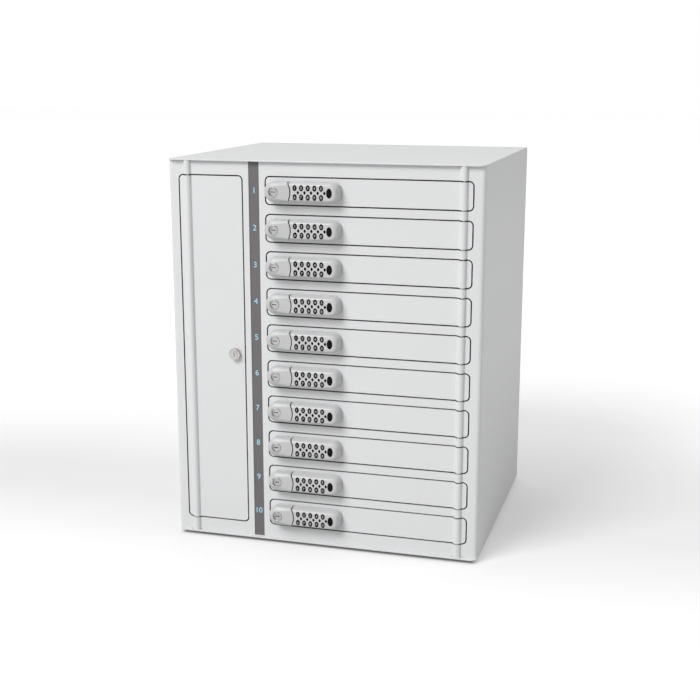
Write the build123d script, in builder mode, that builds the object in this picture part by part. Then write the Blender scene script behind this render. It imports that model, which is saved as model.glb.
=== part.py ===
from build123d import *
import math
import os

os.makedirs("parts", exist_ok=True)

# All sizes are in millimetres. X runs to the right, Y into the cabinet, Z up.
# The cabinet stands on z = 0, centred on the origin.

# Cabinet shell
CABINET_W = 571.6        # across the two sides
CABINET_D = 485.5        # from the face of the front sheet to the rear edge
FASCIA_H = 697.3         # front sheet, from its bottom edge to the top panel
FASCIA_T = 1.5           # front sheet and doors
SHEET_T = 1.2            # every other sheet
CORNER_R = 7.0           # upright front corners
FASCIA_RETURN = 22.0     # how far the front sheet is folded back, at the sides and below
FOOT_RAIL_T = 3.0        # rail along the foot of the front sheet, out as far as the top panel
FOOT_RAIL_R = 1.3        # rounding of its lower edge
TOP_T = 2.0
TOP_LIP = 6.3            # how far the top panel and the foot rail stand out in front
TOP_FRONT_R = 12.0       # their front corners, seen from above
TOP_REAR_R = 3.0
TOP_SKIRT = 12.0         # locating strips under the top panel
TOP_SKIRT_T = 2.0
TOP_SKIRT_INSET = 40.0   # from the front and rear ends of the cabinet
GROUND_GAP = 6.4         # between the floor and the front sheet's bottom edge
REAR_FLANGE = 18.0       # inward flange of each side panel at the back
BASE_FLANGE = 20.0       # upturned edges of the base panel
FIT = 0.2                # clearance between sheets that slide together

# Doors. Every opening has the same gap all round its door.
DOOR_COUNT = 10
DOOR_PITCH = 66.0
OPENING_H = 51.3
OPENING_W = 371.2
OPENING_MARGIN = 19.1    # from the cabinet's right side to the openings
LOWEST_OPENING = 27.4    # from the front sheet's bottom edge
SERVICE_OPENING_W = 121.9
SERVICE_MARGIN = 18.6    # from the cabinet's left side to the service opening
GAP = 2.4
OPENING_R = 9.2          # corner radius of each opening
DOOR_DEPTH = 12.0        # from a door's face to the edge of its flange

# Hinges. Each door turns on a rod inside the half-round bead.
HINGE_INSET = 17.4       # from the hinge edge of an opening to the rod
BEAD_R = 7.0
BEAD_PROUD = 6.0         # how far the bead stands out of the front sheet
BEAD_ROOT_R = 1.5        # soft corner where the bead meets the sheet
ROD_R = 2.5
ROD_PLAY = 0.05          # running clearance between rod and door
ROD_END = 4.0            # from the rod's ends to those of the front sheet
WASHER_R = 4.5
WASHER_PLAY = 0.1

# Number strip, in a groove midway between the two sets of openings
GROOVE_W = 19.4
GROOVE_D = 2.5
STRIP_T = 1.2
GROOVE_FOOT = 3.6        # plain sheet below the groove

# Keypad locks
LOCK_INSET = 22.3        # from the opening's left edge to the lock's spindle
LOCK_RIGHT = 118.5       # from the spindle to the right end of the housing
LOCK_H = 35.5
LOCK_END_R = 13.5        # corner radius of the right end
LOCK_LEFT_R = 17.7       # round left end, about the spindle
LOCK_BASE_T = 3.0
LOCK_FACE = 21.5         # height of the keypad's face above the door
FACE_INSET_SIDE = 3.1    # the sides lean in by this much
FACE_INSET_END = 7.0
LOCK_EDGE_R = 3.3        # rounding round the face
SEAM_R = 32.3            # the knob's round end, about the spindle
SEAM_GAP = 0.7
KNOB_RUN_ON = 8.0        # the knob's blank runs past the seam, where it is cut round
KNOB_FACE = 22.5
KNOB_CLEAR = 0.3         # between the knob and the plate it turns on
KNOB_NOSE_R = 10.5       # round end of the knob's face
KNOB_BOSS_R = 9.2
KNOB_BOSS = 1.0
PLUG_R = 7.0
PLUG_SEAT = 6.0          # depth of the plug's seat in the knob
PLUG_PLAY = 0.05
PLUG_SINK = 0.5
KEYWAY_W = 1.4
KEYWAY_L = 8.0
KEYWAY_D = 4.0
SPINDLE_R = 5.0
SPINDLE_PLAY = 0.05
BARREL_R = 8.0           # the housing's barrel, through the door
BARREL_PLAY = 0.1
CAM_T = 2.0
CAM_CLEAR = 0.5          # between the cam and the door's flange
CAM_W = 13.0
CAM_REACH = 25.0         # from the spindle to the cam's tip
CAM_STUD_R = 3.5         # the spindle's end, which carries the cam
CAM_NUT_R = 5.5
CAM_NUT_T = 3.0
STRIKE_PLAY = 0.6        # round the cam in its slot in the divider
FIX_SCREW_R = 2.0
FIX_HEAD_R = 3.6
FIX_HEAD_T = 2.2
FIX_DEPTH = 8.0          # how far each fixing screw enters the housing
FIX_PLACES = (56.0, 104.0)   # from the spindle

# Keys of each keypad, from the spindle
KEY_COLUMNS = 5
KEY_FIRST = 40.0
KEY_PITCH = 11.9
KEY_ROW = 7.85           # each row from the middle line
KEY_W = 7.4
KEY_H = 10.6
KEY_PROUD = 0.6
KEY_BELOW = 2.6          # part of the key inside its pocket
KEY_TRAVEL = 0.5
KEY_PLAY = 0.15
CLEAR_KEY = 101.7        # the large oval key
CLEAR_KEY_W = 10.2
CLEAR_KEY_H = 17.0
MARK_W = 3.2             # small lozenges between the rows
MARK_H = 5.0
MARK_D = 0.5

# Service door lock
SERVICE_LOCK_INSET = 19.9    # from the service opening's right edge
ROSETTE_R = 10.5
ROSETTE_T = 7.5
ROSETTE_EDGE_R = 1.5
SERVICE_PLUG_R = 6.0
SERVICE_PLUG_PROUD = 0.8
SERVICE_STUB_R = 4.0
SERVICE_BARREL_R = 8.0
SERVICE_CAM_REACH = 30.0
SERVICE_NUT_R = 12.0
SERVICE_NUT_T = 3.0
NOTCH_W = 1.6            # index notch at the top of the rosette
NOTCH_D = 2.0
KEEPER_H = 34.0
KEEPER_SETBACK = 0.8     # from the opening's edge

# Inside
SHELF_FLANGE = 12.0
SHELF_NOTCH_PLAY = 1.0
TRAY_COUNT = 5
TRAY_FRONT = 45.0        # from the front sheet's face
TRAY_D = 300.0
TRAY_LIP = 12.0
CABLE_SLOT_W = 34.0
CABLE_SLOT_H = 20.0
CABLE_SLOT_R = 4.0
CABLE_SLOT_REAR = 70.0   # from the rear edge to the slot's middle
CABLE_SLOT_UP = 26.0     # above the shelf
EDGING_T = 1.5           # rubber edging, inside the slot
EDGING_FLANGE = 3.0
STRIP_BOX_W = 56.0       # socket strip
STRIP_BOX_D = 42.0
STRIP_BOX_WALL = 2.0
STRIP_BOX_R = 3.0
STRIP_BOX_END = 12.0     # clear of the base panel
SOCKET_COUNT = 10
SOCKET_W = 47.0
SOCKET_H = 47.0
SOCKET_PITCH = 60.0
SOCKET_T = 14.0
SOCKET_PROUD = 0.8
SOCKET_R = 4.0
SOCKET_BELOW = 8.0       # from the strip's top end to the first socket
PIN_W = 4.0
PIN_L = 7.0
EARTH_L = 8.0
PIN_SPREAD = 22.0
EARTH_UP = 11.0
STRIP_BOX_X = 45.0       # from the left side to the strip's middle

# Mains inlet in the back
INLET_UP = 36.0          # from the strip's lower end
INLET_W = 27.0
INLET_H = 20.0
INLET_DEPTH = 24.0
INLET_FLANGE_W = 48.0
INLET_FLANGE_H = 25.0
INLET_FLANGE_T = 1.5
INLET_FLANGE_R = 3.0
INLET_WELL_W = 22.6
INLET_WELL_H = 14.6
INLET_WELL_D = 16.0
INLET_PIN_W = 2.0
INLET_PIN_H = 4.0
INLET_PIN_L = 13.0
INLET_PIN_SPREAD = 14.0
INLET_PIN_STEP = 4.0
INLET_CORNER = 4.0

# Air slots in the back
VENT_L = 40.0
VENT_H = 4.0
VENT_COLUMNS = 3
VENT_PITCH_X = 60.0
VENT_ROWS = 3
VENT_PITCH_Z = 11.0

# Fasteners and feet
BACK_SCREW_EVERY = 3     # compartments from one screw to the next, down each side
BACK_SCREW_R = 2.0
BACK_SCREW_HEAD_R = 3.8
BACK_SCREW_HEAD_T = 1.8
BACK_SCREW_L = 9.0
FOOT_R = 17.0
FOOT_TIP_R = 15.0
FOOT_INSET = 45.0
FOOT_WELL_R = 6.0
FOOT_WELL_D = 3.0

# Places worked out from the sizes
HALF_W = CABINET_W / 2
LOCK_PROUD = KNOB_FACE + KNOB_BOSS
FRONT = LOCK_PROUD - (LOCK_PROUD + CABINET_D + BACK_SCREW_HEAD_T) / 2
REAR = FRONT + CABINET_D
SHEET_BACK = FRONT + FASCIA_T
FOLD_END = FRONT + FASCIA_RETURN
BOTTOM = GROUND_GAP
TOP_UNDER = BOTTOM + FASCIA_H
MID_Y = (FRONT + REAR) / 2
HINGE_Y = FRONT + BEAD_R - BEAD_PROUD
OPENING_X1 = HALF_W - OPENING_MARGIN
OPENING_X0 = OPENING_X1 - OPENING_W
OPENING_X = (OPENING_X0 + OPENING_X1) / 2
SERVICE_X0 = SERVICE_MARGIN - HALF_W
SERVICE_X1 = SERVICE_X0 + SERVICE_OPENING_W
SERVICE_X = (SERVICE_X0 + SERVICE_X1) / 2
STACK_LOW = BOTTOM + LOWEST_OPENING
STACK_H = (DOOR_COUNT - 1) * DOOR_PITCH + OPENING_H
STACK_Z = STACK_LOW + STACK_H / 2
LOWEST_Z = STACK_LOW + OPENING_H / 2
HINGE_X = OPENING_X1 - HINGE_INSET
SERVICE_HINGE_X = SERVICE_X0 + HINGE_INSET
STRIP_CENTRE = (SERVICE_X1 + OPENING_X0) / 2
GROOVE_FLOOR = FRONT + GROOVE_D
LOCK_X = OPENING_X0 + LOCK_INSET
SERVICE_LOCK_X = SERVICE_X1 - SERVICE_LOCK_INSET
CAM_Y = FRONT + DOOR_DEPTH + CAM_CLEAR
DIVIDER_X1 = OPENING_X0 - CAM_CLEAR
DIVIDER_X0 = DIVIDER_X1 - SHEET_T
INNER_X = HALF_W - SHEET_T
INSIDE_X = HALF_W - FASCIA_T - FIT
INSIDE_Y = HINGE_Y + BEAD_R + FIT
BASE_TOP = BOTTOM + FASCIA_T + FASCIA_T
BACK_FRONT = REAR - 2 * SHEET_T
BACK_FACE = REAR - SHEET_T
FEED_X = STRIP_BOX_X - HALF_W
STRIP_BOX_H = TOP_UNDER - BASE_TOP - 2 * STRIP_BOX_END
STRIP_BOX_Z = (TOP_UNDER + BASE_TOP) / 2
INLET_Z = STRIP_BOX_Z - STRIP_BOX_H / 2 + INLET_UP


def facing(y):
    """The upright plane at depth y, seen from the front: x to the right, y up."""
    return Plane.XZ.offset(-y)


def door_height(step):
    """Height of the middle of an opening, counted up from the lowest."""
    return LOWEST_Z + step * DOOR_PITCH


def save(part, name):
    """Labels a finished piece and writes it to its own file."""
    part.label = name
    export_step(part, f"parts/{name}.step")


def save_group(parts, name):
    """Writes several separate solids that share one name."""
    save(Compound(children=list(parts)), name)


def rounded_front(width, start, end, corner_r):
    """A rectangle from one depth to another, with its two front corners rounded."""
    with BuildSketch() as block:
        with Locations((0, (start + end) / 2)):
            Rectangle(width, end - start)
        fillet(block.vertices().group_by(Axis.Y)[0], corner_r)
    return block.sketch


# Front sheet: one sheet with folded sides, two hinge beads and a pressed groove
with BuildPart() as front_fascia:
    with BuildSketch(Plane.XY.offset(BOTTOM)) as fascia_plan:
        add(rounded_front(CABINET_W, FRONT, FOLD_END, CORNER_R))
        add(rounded_front(CABINET_W - 2 * FASCIA_T, SHEET_BACK, FOLD_END + FASCIA_T,
                          CORNER_R - FASCIA_T), mode=Mode.SUBTRACT)
        with Locations((HINGE_X, HINGE_Y), (SERVICE_HINGE_X, HINGE_Y)):
            Circle(BEAD_R)
        bead_roots = [v for v in fascia_plan.vertices()
                      if abs(v.Y - FRONT) < ROD_PLAY
                      and min(abs(v.X - HINGE_X), abs(v.X - SERVICE_HINGE_X)) < BEAD_R]
        fillet(bead_roots, BEAD_ROOT_R)
        with Locations((STRIP_CENTRE, FRONT + (GROOVE_D + FASCIA_T) / 2)):
            Rectangle(GROOVE_W + 2 * FASCIA_T, GROOVE_D + FASCIA_T)
        with Locations((STRIP_CENTRE, FRONT + GROOVE_D / 2)):
            Rectangle(GROOVE_W, GROOVE_D, mode=Mode.SUBTRACT)
    extrude(amount=FASCIA_H)
    # The groove stops short of the bottom edge. The edge is folded inwards, on a foot rail.
    with Locations((STRIP_CENTRE, FRONT + GROOVE_D / 2, BOTTOM + GROOVE_FOOT / 2)):
        Box(GROOVE_W, GROOVE_D, GROOVE_FOOT)
    with BuildSketch(Plane.XY.offset(BOTTOM)):
        add(rounded_front(CABINET_W, FRONT, FOLD_END, CORNER_R))
    extrude(amount=FASCIA_T)
    with BuildSketch(Plane.XY.offset(BOTTOM)):
        add(rounded_front(CABINET_W, FRONT - TOP_LIP, FRONT + CORNER_R, TOP_FRONT_R))
    extrude(amount=FOOT_RAIL_T)
    rail_front = [e for e in front_fascia.edges().group_by(Axis.Z)[0]
                  if e.center().Y < FRONT + FASCIA_T / 2]
    fillet(rail_front, FOOT_RAIL_R)
    # Openings for the doors
    with BuildSketch(facing(FRONT + DOOR_DEPTH)):
        for step in range(DOOR_COUNT):
            with Locations((OPENING_X, door_height(step))):
                RectangleRounded(OPENING_W, OPENING_H, OPENING_R)
        with Locations((SERVICE_X, STACK_Z)):
            RectangleRounded(SERVICE_OPENING_W, STACK_H, OPENING_R)
    extrude(amount=DOOR_DEPTH + BEAD_R + FASCIA_T, mode=Mode.SUBTRACT)
    # Keeper for the service lock, folded back from the opening's edge
    with Locations((SERVICE_X1 + KEEPER_SETBACK + FASCIA_T / 2,
                    (SHEET_BACK + FRONT + DOOR_DEPTH) / 2, STACK_Z)):
        Box(FASCIA_T, FRONT + DOOR_DEPTH - SHEET_BACK, KEEPER_H)
    # Bores for the hinge rods
    with Locations((HINGE_X, HINGE_Y, BOTTOM + FASCIA_H / 2),
                   (SERVICE_HINGE_X, HINGE_Y, BOTTOM + FASCIA_H / 2)):
        Cylinder(ROD_R, FASCIA_H - 2 * ROD_END, mode=Mode.SUBTRACT)
save(front_fascia.part, "front_fascia")


def side_panel(side):
    """A side panel with its rear flange; side is 1 on the right and -1 on the left."""
    with BuildPart() as panel:
        with BuildSketch(Plane.XY.offset(BOTTOM)):
            with Locations((side * (HALF_W - SHEET_T / 2), (FOLD_END + REAR) / 2)):
                Rectangle(SHEET_T, REAR - FOLD_END)
            with Locations((side * (HALF_W - REAR_FLANGE / 2), REAR - SHEET_T / 2)):
                Rectangle(REAR_FLANGE, SHEET_T)
        extrude(amount=FASCIA_H)
        rear_edge = panel.edges().filter_by(Axis.Z).group_by(Axis.Y)[-1]
        outer = rear_edge.sort_by(Axis.X)[-1 if side > 0 else 0]
        fillet(outer, SHEET_T - FIT)
        with Locations(*[(side * (HALF_W - REAR_FLANGE / 2), REAR - SHEET_T / 2, z)
                         for z in back_screw_heights()]):
            Cylinder(BACK_SCREW_R, 2 * SHEET_T, rotation=(90, 0, 0), mode=Mode.SUBTRACT)
    return panel.part


def back_screw_heights():
    """Heights of the screws that hold the back panel, clear of the shelves."""
    return [door_height(step) for step in range(0, DOOR_COUNT, BACK_SCREW_EVERY)]


save(side_panel(1), "side_panel_right")
save(side_panel(-1), "side_panel_left")

# Top panel: a flat plate with a lip in front and two locating strips beneath
with BuildPart() as top_panel:
    with BuildSketch(Plane.XY.offset(TOP_UNDER)) as top_plan:
        add(rounded_front(CABINET_W, FRONT - TOP_LIP, REAR, TOP_FRONT_R))
        fillet(top_plan.vertices().group_by(Axis.Y)[-1], TOP_REAR_R)
    extrude(amount=TOP_T)
    fillet(top_panel.edges().group_by(Axis.Z)[-1], TOP_T / 4)
    skirt_x = INNER_X - FIT - TOP_SKIRT_T / 2
    with Locations((skirt_x, MID_Y, TOP_UNDER - TOP_SKIRT / 2),
                   (-skirt_x, MID_Y, TOP_UNDER - TOP_SKIRT / 2)):
        Box(TOP_SKIRT_T, CABINET_D - 2 * TOP_SKIRT_INSET, TOP_SKIRT)
save(top_panel.part, "top_panel")

# Base panel: a tray with upturned sides, on which everything inside stands
with BuildPart() as base_panel:
    base_d = BACK_FRONT - INSIDE_Y
    with Locations((0, (INSIDE_Y + BACK_FRONT) / 2, BASE_TOP - FASCIA_T / 2)):
        Box(2 * INSIDE_X, base_d, FASCIA_T)
    flange_x = INSIDE_X - FASCIA_T / 2
    with Locations((flange_x, (INSIDE_Y + BACK_FRONT) / 2, BASE_TOP + BASE_FLANGE / 2),
                   (-flange_x, (INSIDE_Y + BACK_FRONT) / 2, BASE_TOP + BASE_FLANGE / 2)):
        Box(FASCIA_T, base_d, BASE_FLANGE)
save(base_panel.part, "base_panel")

# Back panel: air slots behind every compartment, and the cut-out of the inlet
with BuildPart() as back_panel:
    with BuildSketch(facing(BACK_FACE)):
        with Locations((0, (BASE_TOP + TOP_UNDER) / 2)):
            Rectangle(2 * INNER_X - 2 * FIT, TOP_UNDER - BASE_TOP)
        for step in range(DOOR_COUNT):
            with Locations((OPENING_X, door_height(step))):
                with GridLocations(VENT_PITCH_X, VENT_PITCH_Z, VENT_COLUMNS, VENT_ROWS):
                    SlotOverall(VENT_L, VENT_H, mode=Mode.SUBTRACT)
        with Locations((FEED_X, INLET_Z)):
            Rectangle(INLET_W + 2 * FIT, INLET_H + 2 * FIT, mode=Mode.SUBTRACT)
    extrude(amount=SHEET_T)
    with Locations(*[(side * (HALF_W - REAR_FLANGE / 2), BACK_FACE, z)
                     for side in (-1, 1) for z in back_screw_heights()]):
        Cylinder(BACK_SCREW_R, 3 * SHEET_T, rotation=(90, 0, 0), mode=Mode.SUBTRACT)
save(back_panel.part, "back_panel")


def back_screw(x, z):
    """A pan-head screw, driven from behind through flange and back panel."""
    with BuildPart() as screw:
        with BuildSketch(facing(REAR)):
            with Locations((x, z)):
                Circle(BACK_SCREW_HEAD_R)
        extrude(amount=-BACK_SCREW_HEAD_T)
        fillet(screw.edges().group_by(Axis.Y)[-1], BACK_SCREW_HEAD_T / 2)
        with BuildSketch(facing(REAR)):
            with Locations((x, z)):
                Circle(BACK_SCREW_R)
        extrude(amount=BACK_SCREW_L)
        with BuildSketch(facing(REAR + BACK_SCREW_HEAD_T)):
            with Locations((x, z)):
                RegularPolygon(BACK_SCREW_HEAD_R / 2, 6)
        extrude(amount=BACK_SCREW_HEAD_T / 2, mode=Mode.SUBTRACT)
    return screw.part


save_group([back_screw(side * (HALF_W - REAR_FLANGE / 2), z)
            for side in (-1, 1) for z in back_screw_heights()], "back_panel_screws")

# Divider between the service bay and the compartments. Near the front it has a slot
# for each lock's cam, and near the back one for each charging lead.
with BuildPart() as bay_divider:
    with Locations(((DIVIDER_X0 + DIVIDER_X1) / 2, (SHEET_BACK + BACK_FRONT) / 2,
                    (BASE_TOP + TOP_UNDER) / 2)):
        Box(SHEET_T, BACK_FRONT - SHEET_BACK, TOP_UNDER - BASE_TOP)
    cam_slot_reach = math.sqrt(CAM_REACH ** 2 - (LOCK_X - DIVIDER_X1) ** 2)
    with BuildSketch(Plane.YZ.offset(DIVIDER_X0)):
        for step in range(DOOR_COUNT):
            with Locations((CAM_Y + CAM_T / 2, door_height(step))):
                Rectangle(CAM_T + 2 * STRIKE_PLAY, 2 * cam_slot_reach + 2 * STRIKE_PLAY)
            with Locations((REAR - CABLE_SLOT_REAR, door_height(step)
                            - OPENING_H / 2 + CABLE_SLOT_UP)):
                RectangleRounded(CABLE_SLOT_W, CABLE_SLOT_H, CABLE_SLOT_R)
    extrude(amount=SHEET_T, mode=Mode.SUBTRACT)
save(bay_divider.part, "bay_divider")


def cable_edging(step):
    """Rubber edging in one cable slot: a sleeve with a flange on each face."""
    z = door_height(step) - OPENING_H / 2 + CABLE_SLOT_UP
    y = REAR - CABLE_SLOT_REAR
    flange_w = CABLE_SLOT_W + 2 * EDGING_FLANGE
    flange_h = CABLE_SLOT_H + 2 * EDGING_FLANGE
    with BuildPart() as edging:
        with BuildSketch(Plane.YZ.offset(DIVIDER_X0 - EDGING_T)):
            with Locations((y, z)):
                RectangleRounded(flange_w, flange_h, CABLE_SLOT_R + EDGING_FLANGE)
        extrude(amount=EDGING_T)
        with BuildSketch(Plane.YZ.offset(DIVIDER_X1)):
            with Locations((y, z)):
                RectangleRounded(flange_w, flange_h, CABLE_SLOT_R + EDGING_FLANGE)
        extrude(amount=EDGING_T)
        with BuildSketch(Plane.YZ.offset(DIVIDER_X0)):
            with Locations((y, z)):
                RectangleRounded(CABLE_SLOT_W, CABLE_SLOT_H, CABLE_SLOT_R)
        extrude(amount=SHEET_T)
        with BuildSketch(Plane.YZ.offset(DIVIDER_X0 - EDGING_T)):
            with Locations((y, z)):
                RectangleRounded(CABLE_SLOT_W - 2 * EDGING_T, CABLE_SLOT_H - 2 * EDGING_T,
                                 CABLE_SLOT_R - EDGING_T)
        extrude(amount=SHEET_T + 2 * EDGING_T, mode=Mode.SUBTRACT)
    return edging.part


save_group([cable_edging(step) for step in range(DOOR_COUNT)], "cable_edgings")


def shelf(step):
    """The floor of one compartment, level with the bottom of its opening."""
    top = door_height(step) - OPENING_H / 2
    x0 = DIVIDER_X1
    with BuildPart() as plate:
        with Locations(((x0 + INSIDE_X) / 2, (SHEET_BACK + BACK_FRONT) / 2, top - SHEET_T / 2)):
            Box(INSIDE_X - x0, BACK_FRONT - SHEET_BACK, SHEET_T)
        with Locations(((x0 + INSIDE_X) / 2, SHEET_BACK + SHEET_T / 2, top - SHELF_FLANGE / 2)):
            Box(INSIDE_X - x0, SHEET_T, SHELF_FLANGE)
        # Notch round the barrel of the hinge
        notch_d = HINGE_Y + BEAD_R + SHELF_NOTCH_PLAY - SHEET_BACK
        with Locations((HINGE_X, SHEET_BACK + notch_d / 2, top - SHELF_FLANGE / 2)):
            Box(2 * (BEAD_R + SHELF_NOTCH_PLAY), notch_d, SHELF_FLANGE, mode=Mode.SUBTRACT)
        # The sheet is cut back where the front sheet's corner is folded round
        with Locations((INSIDE_X, SHEET_BACK, top - SHELF_FLANGE / 2)):
            Box(2 * CORNER_R, 2 * CORNER_R, SHELF_FLANGE, mode=Mode.SUBTRACT)
    return plate.part


save_group([shelf(step) for step in range(DOOR_COUNT)], "compartment_shelves")


def adapter_tray(index):
    """A shelf in the service bay for the chargers, with an upturned front lip."""
    pitch = STACK_H / TRAY_COUNT
    z = STACK_LOW + index * pitch
    width = DIVIDER_X0 + INNER_X
    x = (DIVIDER_X0 - INNER_X) / 2
    with BuildPart() as tray:
        with Locations((x, FRONT + TRAY_FRONT + TRAY_D / 2, z - SHEET_T / 2)):
            Box(width, TRAY_D, SHEET_T)
        with Locations((x, FRONT + TRAY_FRONT + SHEET_T / 2, z + TRAY_LIP / 2)):
            Box(width, SHEET_T, TRAY_LIP)
        for edge in (-1, 1):
            with Locations((x + edge * (width - SHEET_T) / 2,
                            FRONT + TRAY_FRONT + TRAY_D / 2, z + TRAY_LIP / 2)):
                Box(SHEET_T, TRAY_D, TRAY_LIP)
    return tray.part


save_group([adapter_tray(index) for index in range(TRAY_COUNT)], "adapter_trays")

# Number strip, inlaid in the groove of the front sheet
with BuildPart() as number_strip:
    strip_low = BOTTOM + GROOVE_FOOT
    with Locations((STRIP_CENTRE, GROOVE_FLOOR - STRIP_T / 2, (strip_low + TOP_UNDER) / 2)):
        Box(GROOVE_W - 2 * ROD_PLAY, STRIP_T, TOP_UNDER - strip_low)
save(number_strip.part, "number_strip")


def foot(x, y):
    """A rubber foot with a well for its screw."""
    with BuildPart() as pad:
        with BuildSketch(Plane.XZ) as half_section:
            with BuildLine():
                Polyline((0, FOOT_WELL_D), (FOOT_WELL_R, FOOT_WELL_D), (FOOT_WELL_R, 0),
                         (FOOT_TIP_R, 0), (FOOT_R, BASE_TOP - FASCIA_T),
                         (0, BASE_TOP - FASCIA_T), close=True)
            make_face()
        revolve(axis=Axis.Z)
    return pad.part.moved(Location((x, y, 0)))


foot_x = HALF_W - FOOT_INSET
save_group([foot(x, y) for x in (-foot_x, foot_x)
            for y in (FRONT + FOOT_INSET, REAR - FOOT_INSET)], "feet")


def hinge_rod(x):
    """The steel rod that a column of doors turns on."""
    with BuildPart() as rod:
        with Locations((x, HINGE_Y, BOTTOM + FASCIA_H / 2)):
            Cylinder(ROD_R, FASCIA_H - 2 * ROD_END)
    return rod.part


save_group([hinge_rod(HINGE_X), hinge_rod(SERVICE_HINGE_X)], "hinge_rods")


def hinge_washer(x, z):
    """A nylon washer on the rod, which carries the door above it."""
    with BuildPart() as washer:
        with BuildSketch(Plane.XY.offset(z)):
            with Locations((x, HINGE_Y)):
                Circle(WASHER_R)
                Circle(ROD_R, mode=Mode.SUBTRACT)
        extrude(amount=GAP - WASHER_PLAY)
    return washer.part


save_group([hinge_washer(HINGE_X, door_height(step) - OPENING_H / 2)
            for step in range(DOOR_COUNT)]
           + [hinge_washer(SERVICE_HINGE_X, STACK_LOW)], "hinge_washers")

# Socket strip on the back of the service bay, with its sockets facing the door
strip_front = BACK_FRONT - STRIP_BOX_D
socket_top = STRIP_BOX_Z + STRIP_BOX_H / 2 - SOCKET_BELOW - SOCKET_H / 2
socket_heights = [socket_top - i * SOCKET_PITCH for i in range(SOCKET_COUNT)]
with BuildPart() as strip_box:
    with BuildSketch(facing(BACK_FRONT)):
        with Locations((FEED_X, STRIP_BOX_Z)):
            RectangleRounded(STRIP_BOX_W, STRIP_BOX_H, STRIP_BOX_R)
    extrude(amount=STRIP_BOX_D)
    with BuildSketch(facing(BACK_FRONT - STRIP_BOX_WALL)):
        with Locations((FEED_X, STRIP_BOX_Z)):
            Rectangle(STRIP_BOX_W - 2 * STRIP_BOX_WALL, STRIP_BOX_H - 2 * STRIP_BOX_WALL)
    extrude(amount=STRIP_BOX_D - 2 * STRIP_BOX_WALL, mode=Mode.SUBTRACT)
    with BuildSketch(facing(BACK_FRONT - STRIP_BOX_D / 2)):
        with Locations(*[(FEED_X, z) for z in socket_heights]):
            RectangleRounded(SOCKET_W, SOCKET_H, SOCKET_R)
    extrude(amount=STRIP_BOX_D, mode=Mode.SUBTRACT)
    with BuildSketch(facing(BACK_FRONT)):
        with Locations((FEED_X, INLET_Z)):
            Rectangle(INLET_W + 2 * FIT, INLET_H + 2 * FIT)
    extrude(amount=STRIP_BOX_WALL, mode=Mode.SUBTRACT)


def socket(z):
    """One mains socket with three slots for the pins of a plug."""
    with BuildPart() as insert:
        with BuildSketch(facing(strip_front + SOCKET_T - SOCKET_PROUD)):
            with Locations((FEED_X, z)):
                RectangleRounded(SOCKET_W, SOCKET_H, SOCKET_R)
        extrude(amount=SOCKET_T)
        with BuildSketch(facing(strip_front - SOCKET_PROUD)):
            with Locations((FEED_X - PIN_SPREAD / 2, z - EARTH_UP / 2),
                           (FEED_X + PIN_SPREAD / 2, z - EARTH_UP / 2)):
                Rectangle(PIN_L, PIN_W)
            with Locations((FEED_X, z + EARTH_UP)):
                Rectangle(PIN_W, EARTH_L)
        extrude(amount=-SOCKET_T * 3 / 4, mode=Mode.SUBTRACT)
    return insert.part


save_group([strip_box.part] + [socket(z) for z in socket_heights], "socket_strip")

# Mains inlet, through the back panel into the lower end of the socket strip
with BuildPart() as mains_inlet:
    with BuildSketch(facing(BACK_FACE)):
        with Locations((FEED_X, INLET_Z)):
            Rectangle(INLET_W, INLET_H)
    extrude(amount=INLET_DEPTH)
    with BuildSketch(facing(BACK_FACE)):
        with Locations((FEED_X, INLET_Z)):
            RectangleRounded(INLET_FLANGE_W, INLET_FLANGE_H, INLET_FLANGE_R)
    extrude(amount=-INLET_FLANGE_T)
    with BuildSketch(facing(BACK_FACE + INLET_FLANGE_T)) as well_plan:
        with Locations((FEED_X, INLET_Z)):
            Rectangle(INLET_WELL_W, INLET_WELL_H)
        chamfer(well_plan.vertices().group_by(Axis.Z)[-1], INLET_CORNER)
    extrude(amount=INLET_WELL_D, mode=Mode.SUBTRACT)
    with BuildSketch(facing(BACK_FACE + INLET_FLANGE_T - INLET_WELL_D)):
        with Locations((FEED_X - INLET_PIN_SPREAD / 2, INLET_Z - INLET_PIN_STEP / 2),
                       (FEED_X, INLET_Z + INLET_PIN_STEP / 2),
                       (FEED_X + INLET_PIN_SPREAD / 2, INLET_Z - INLET_PIN_STEP / 2)):
            Rectangle(INLET_PIN_W, INLET_PIN_H)
    extrude(amount=-INLET_PIN_L)
save(mains_inlet.part, "mains_inlet")


def pan_block(x0, x1, low, high, inset, hinge_x, bead_r, face):
    """The outer or inner form of a door: a bead and a plate, cut to rounded corners."""
    back = FRONT + DOOR_DEPTH
    with BuildPart() as block:
        with BuildSketch(Plane.XY.offset(low)) as plan:
            with Locations(((x0 + x1) / 2, (face + back) / 2)):
                Rectangle(x1 - x0, back - face)
            with Locations((hinge_x, HINGE_Y)):
                Circle(bead_r)
            roots = [v for v in plan.vertices()
                     if abs(v.Y - face) < ROD_PLAY and abs(v.X - hinge_x) < bead_r]
            fillet(roots, BEAD_ROOT_R)
        extrude(amount=high - low)
        with BuildSketch(facing(back)):
            with Locations(((x0 + x1) / 2, (low + high) / 2)):
                RectangleRounded(x1 - x0, high - low, OPENING_R - GAP - inset)
        extrude(amount=DOOR_DEPTH + 2 * BEAD_R, mode=Mode.INTERSECT)
    return block.part


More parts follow.
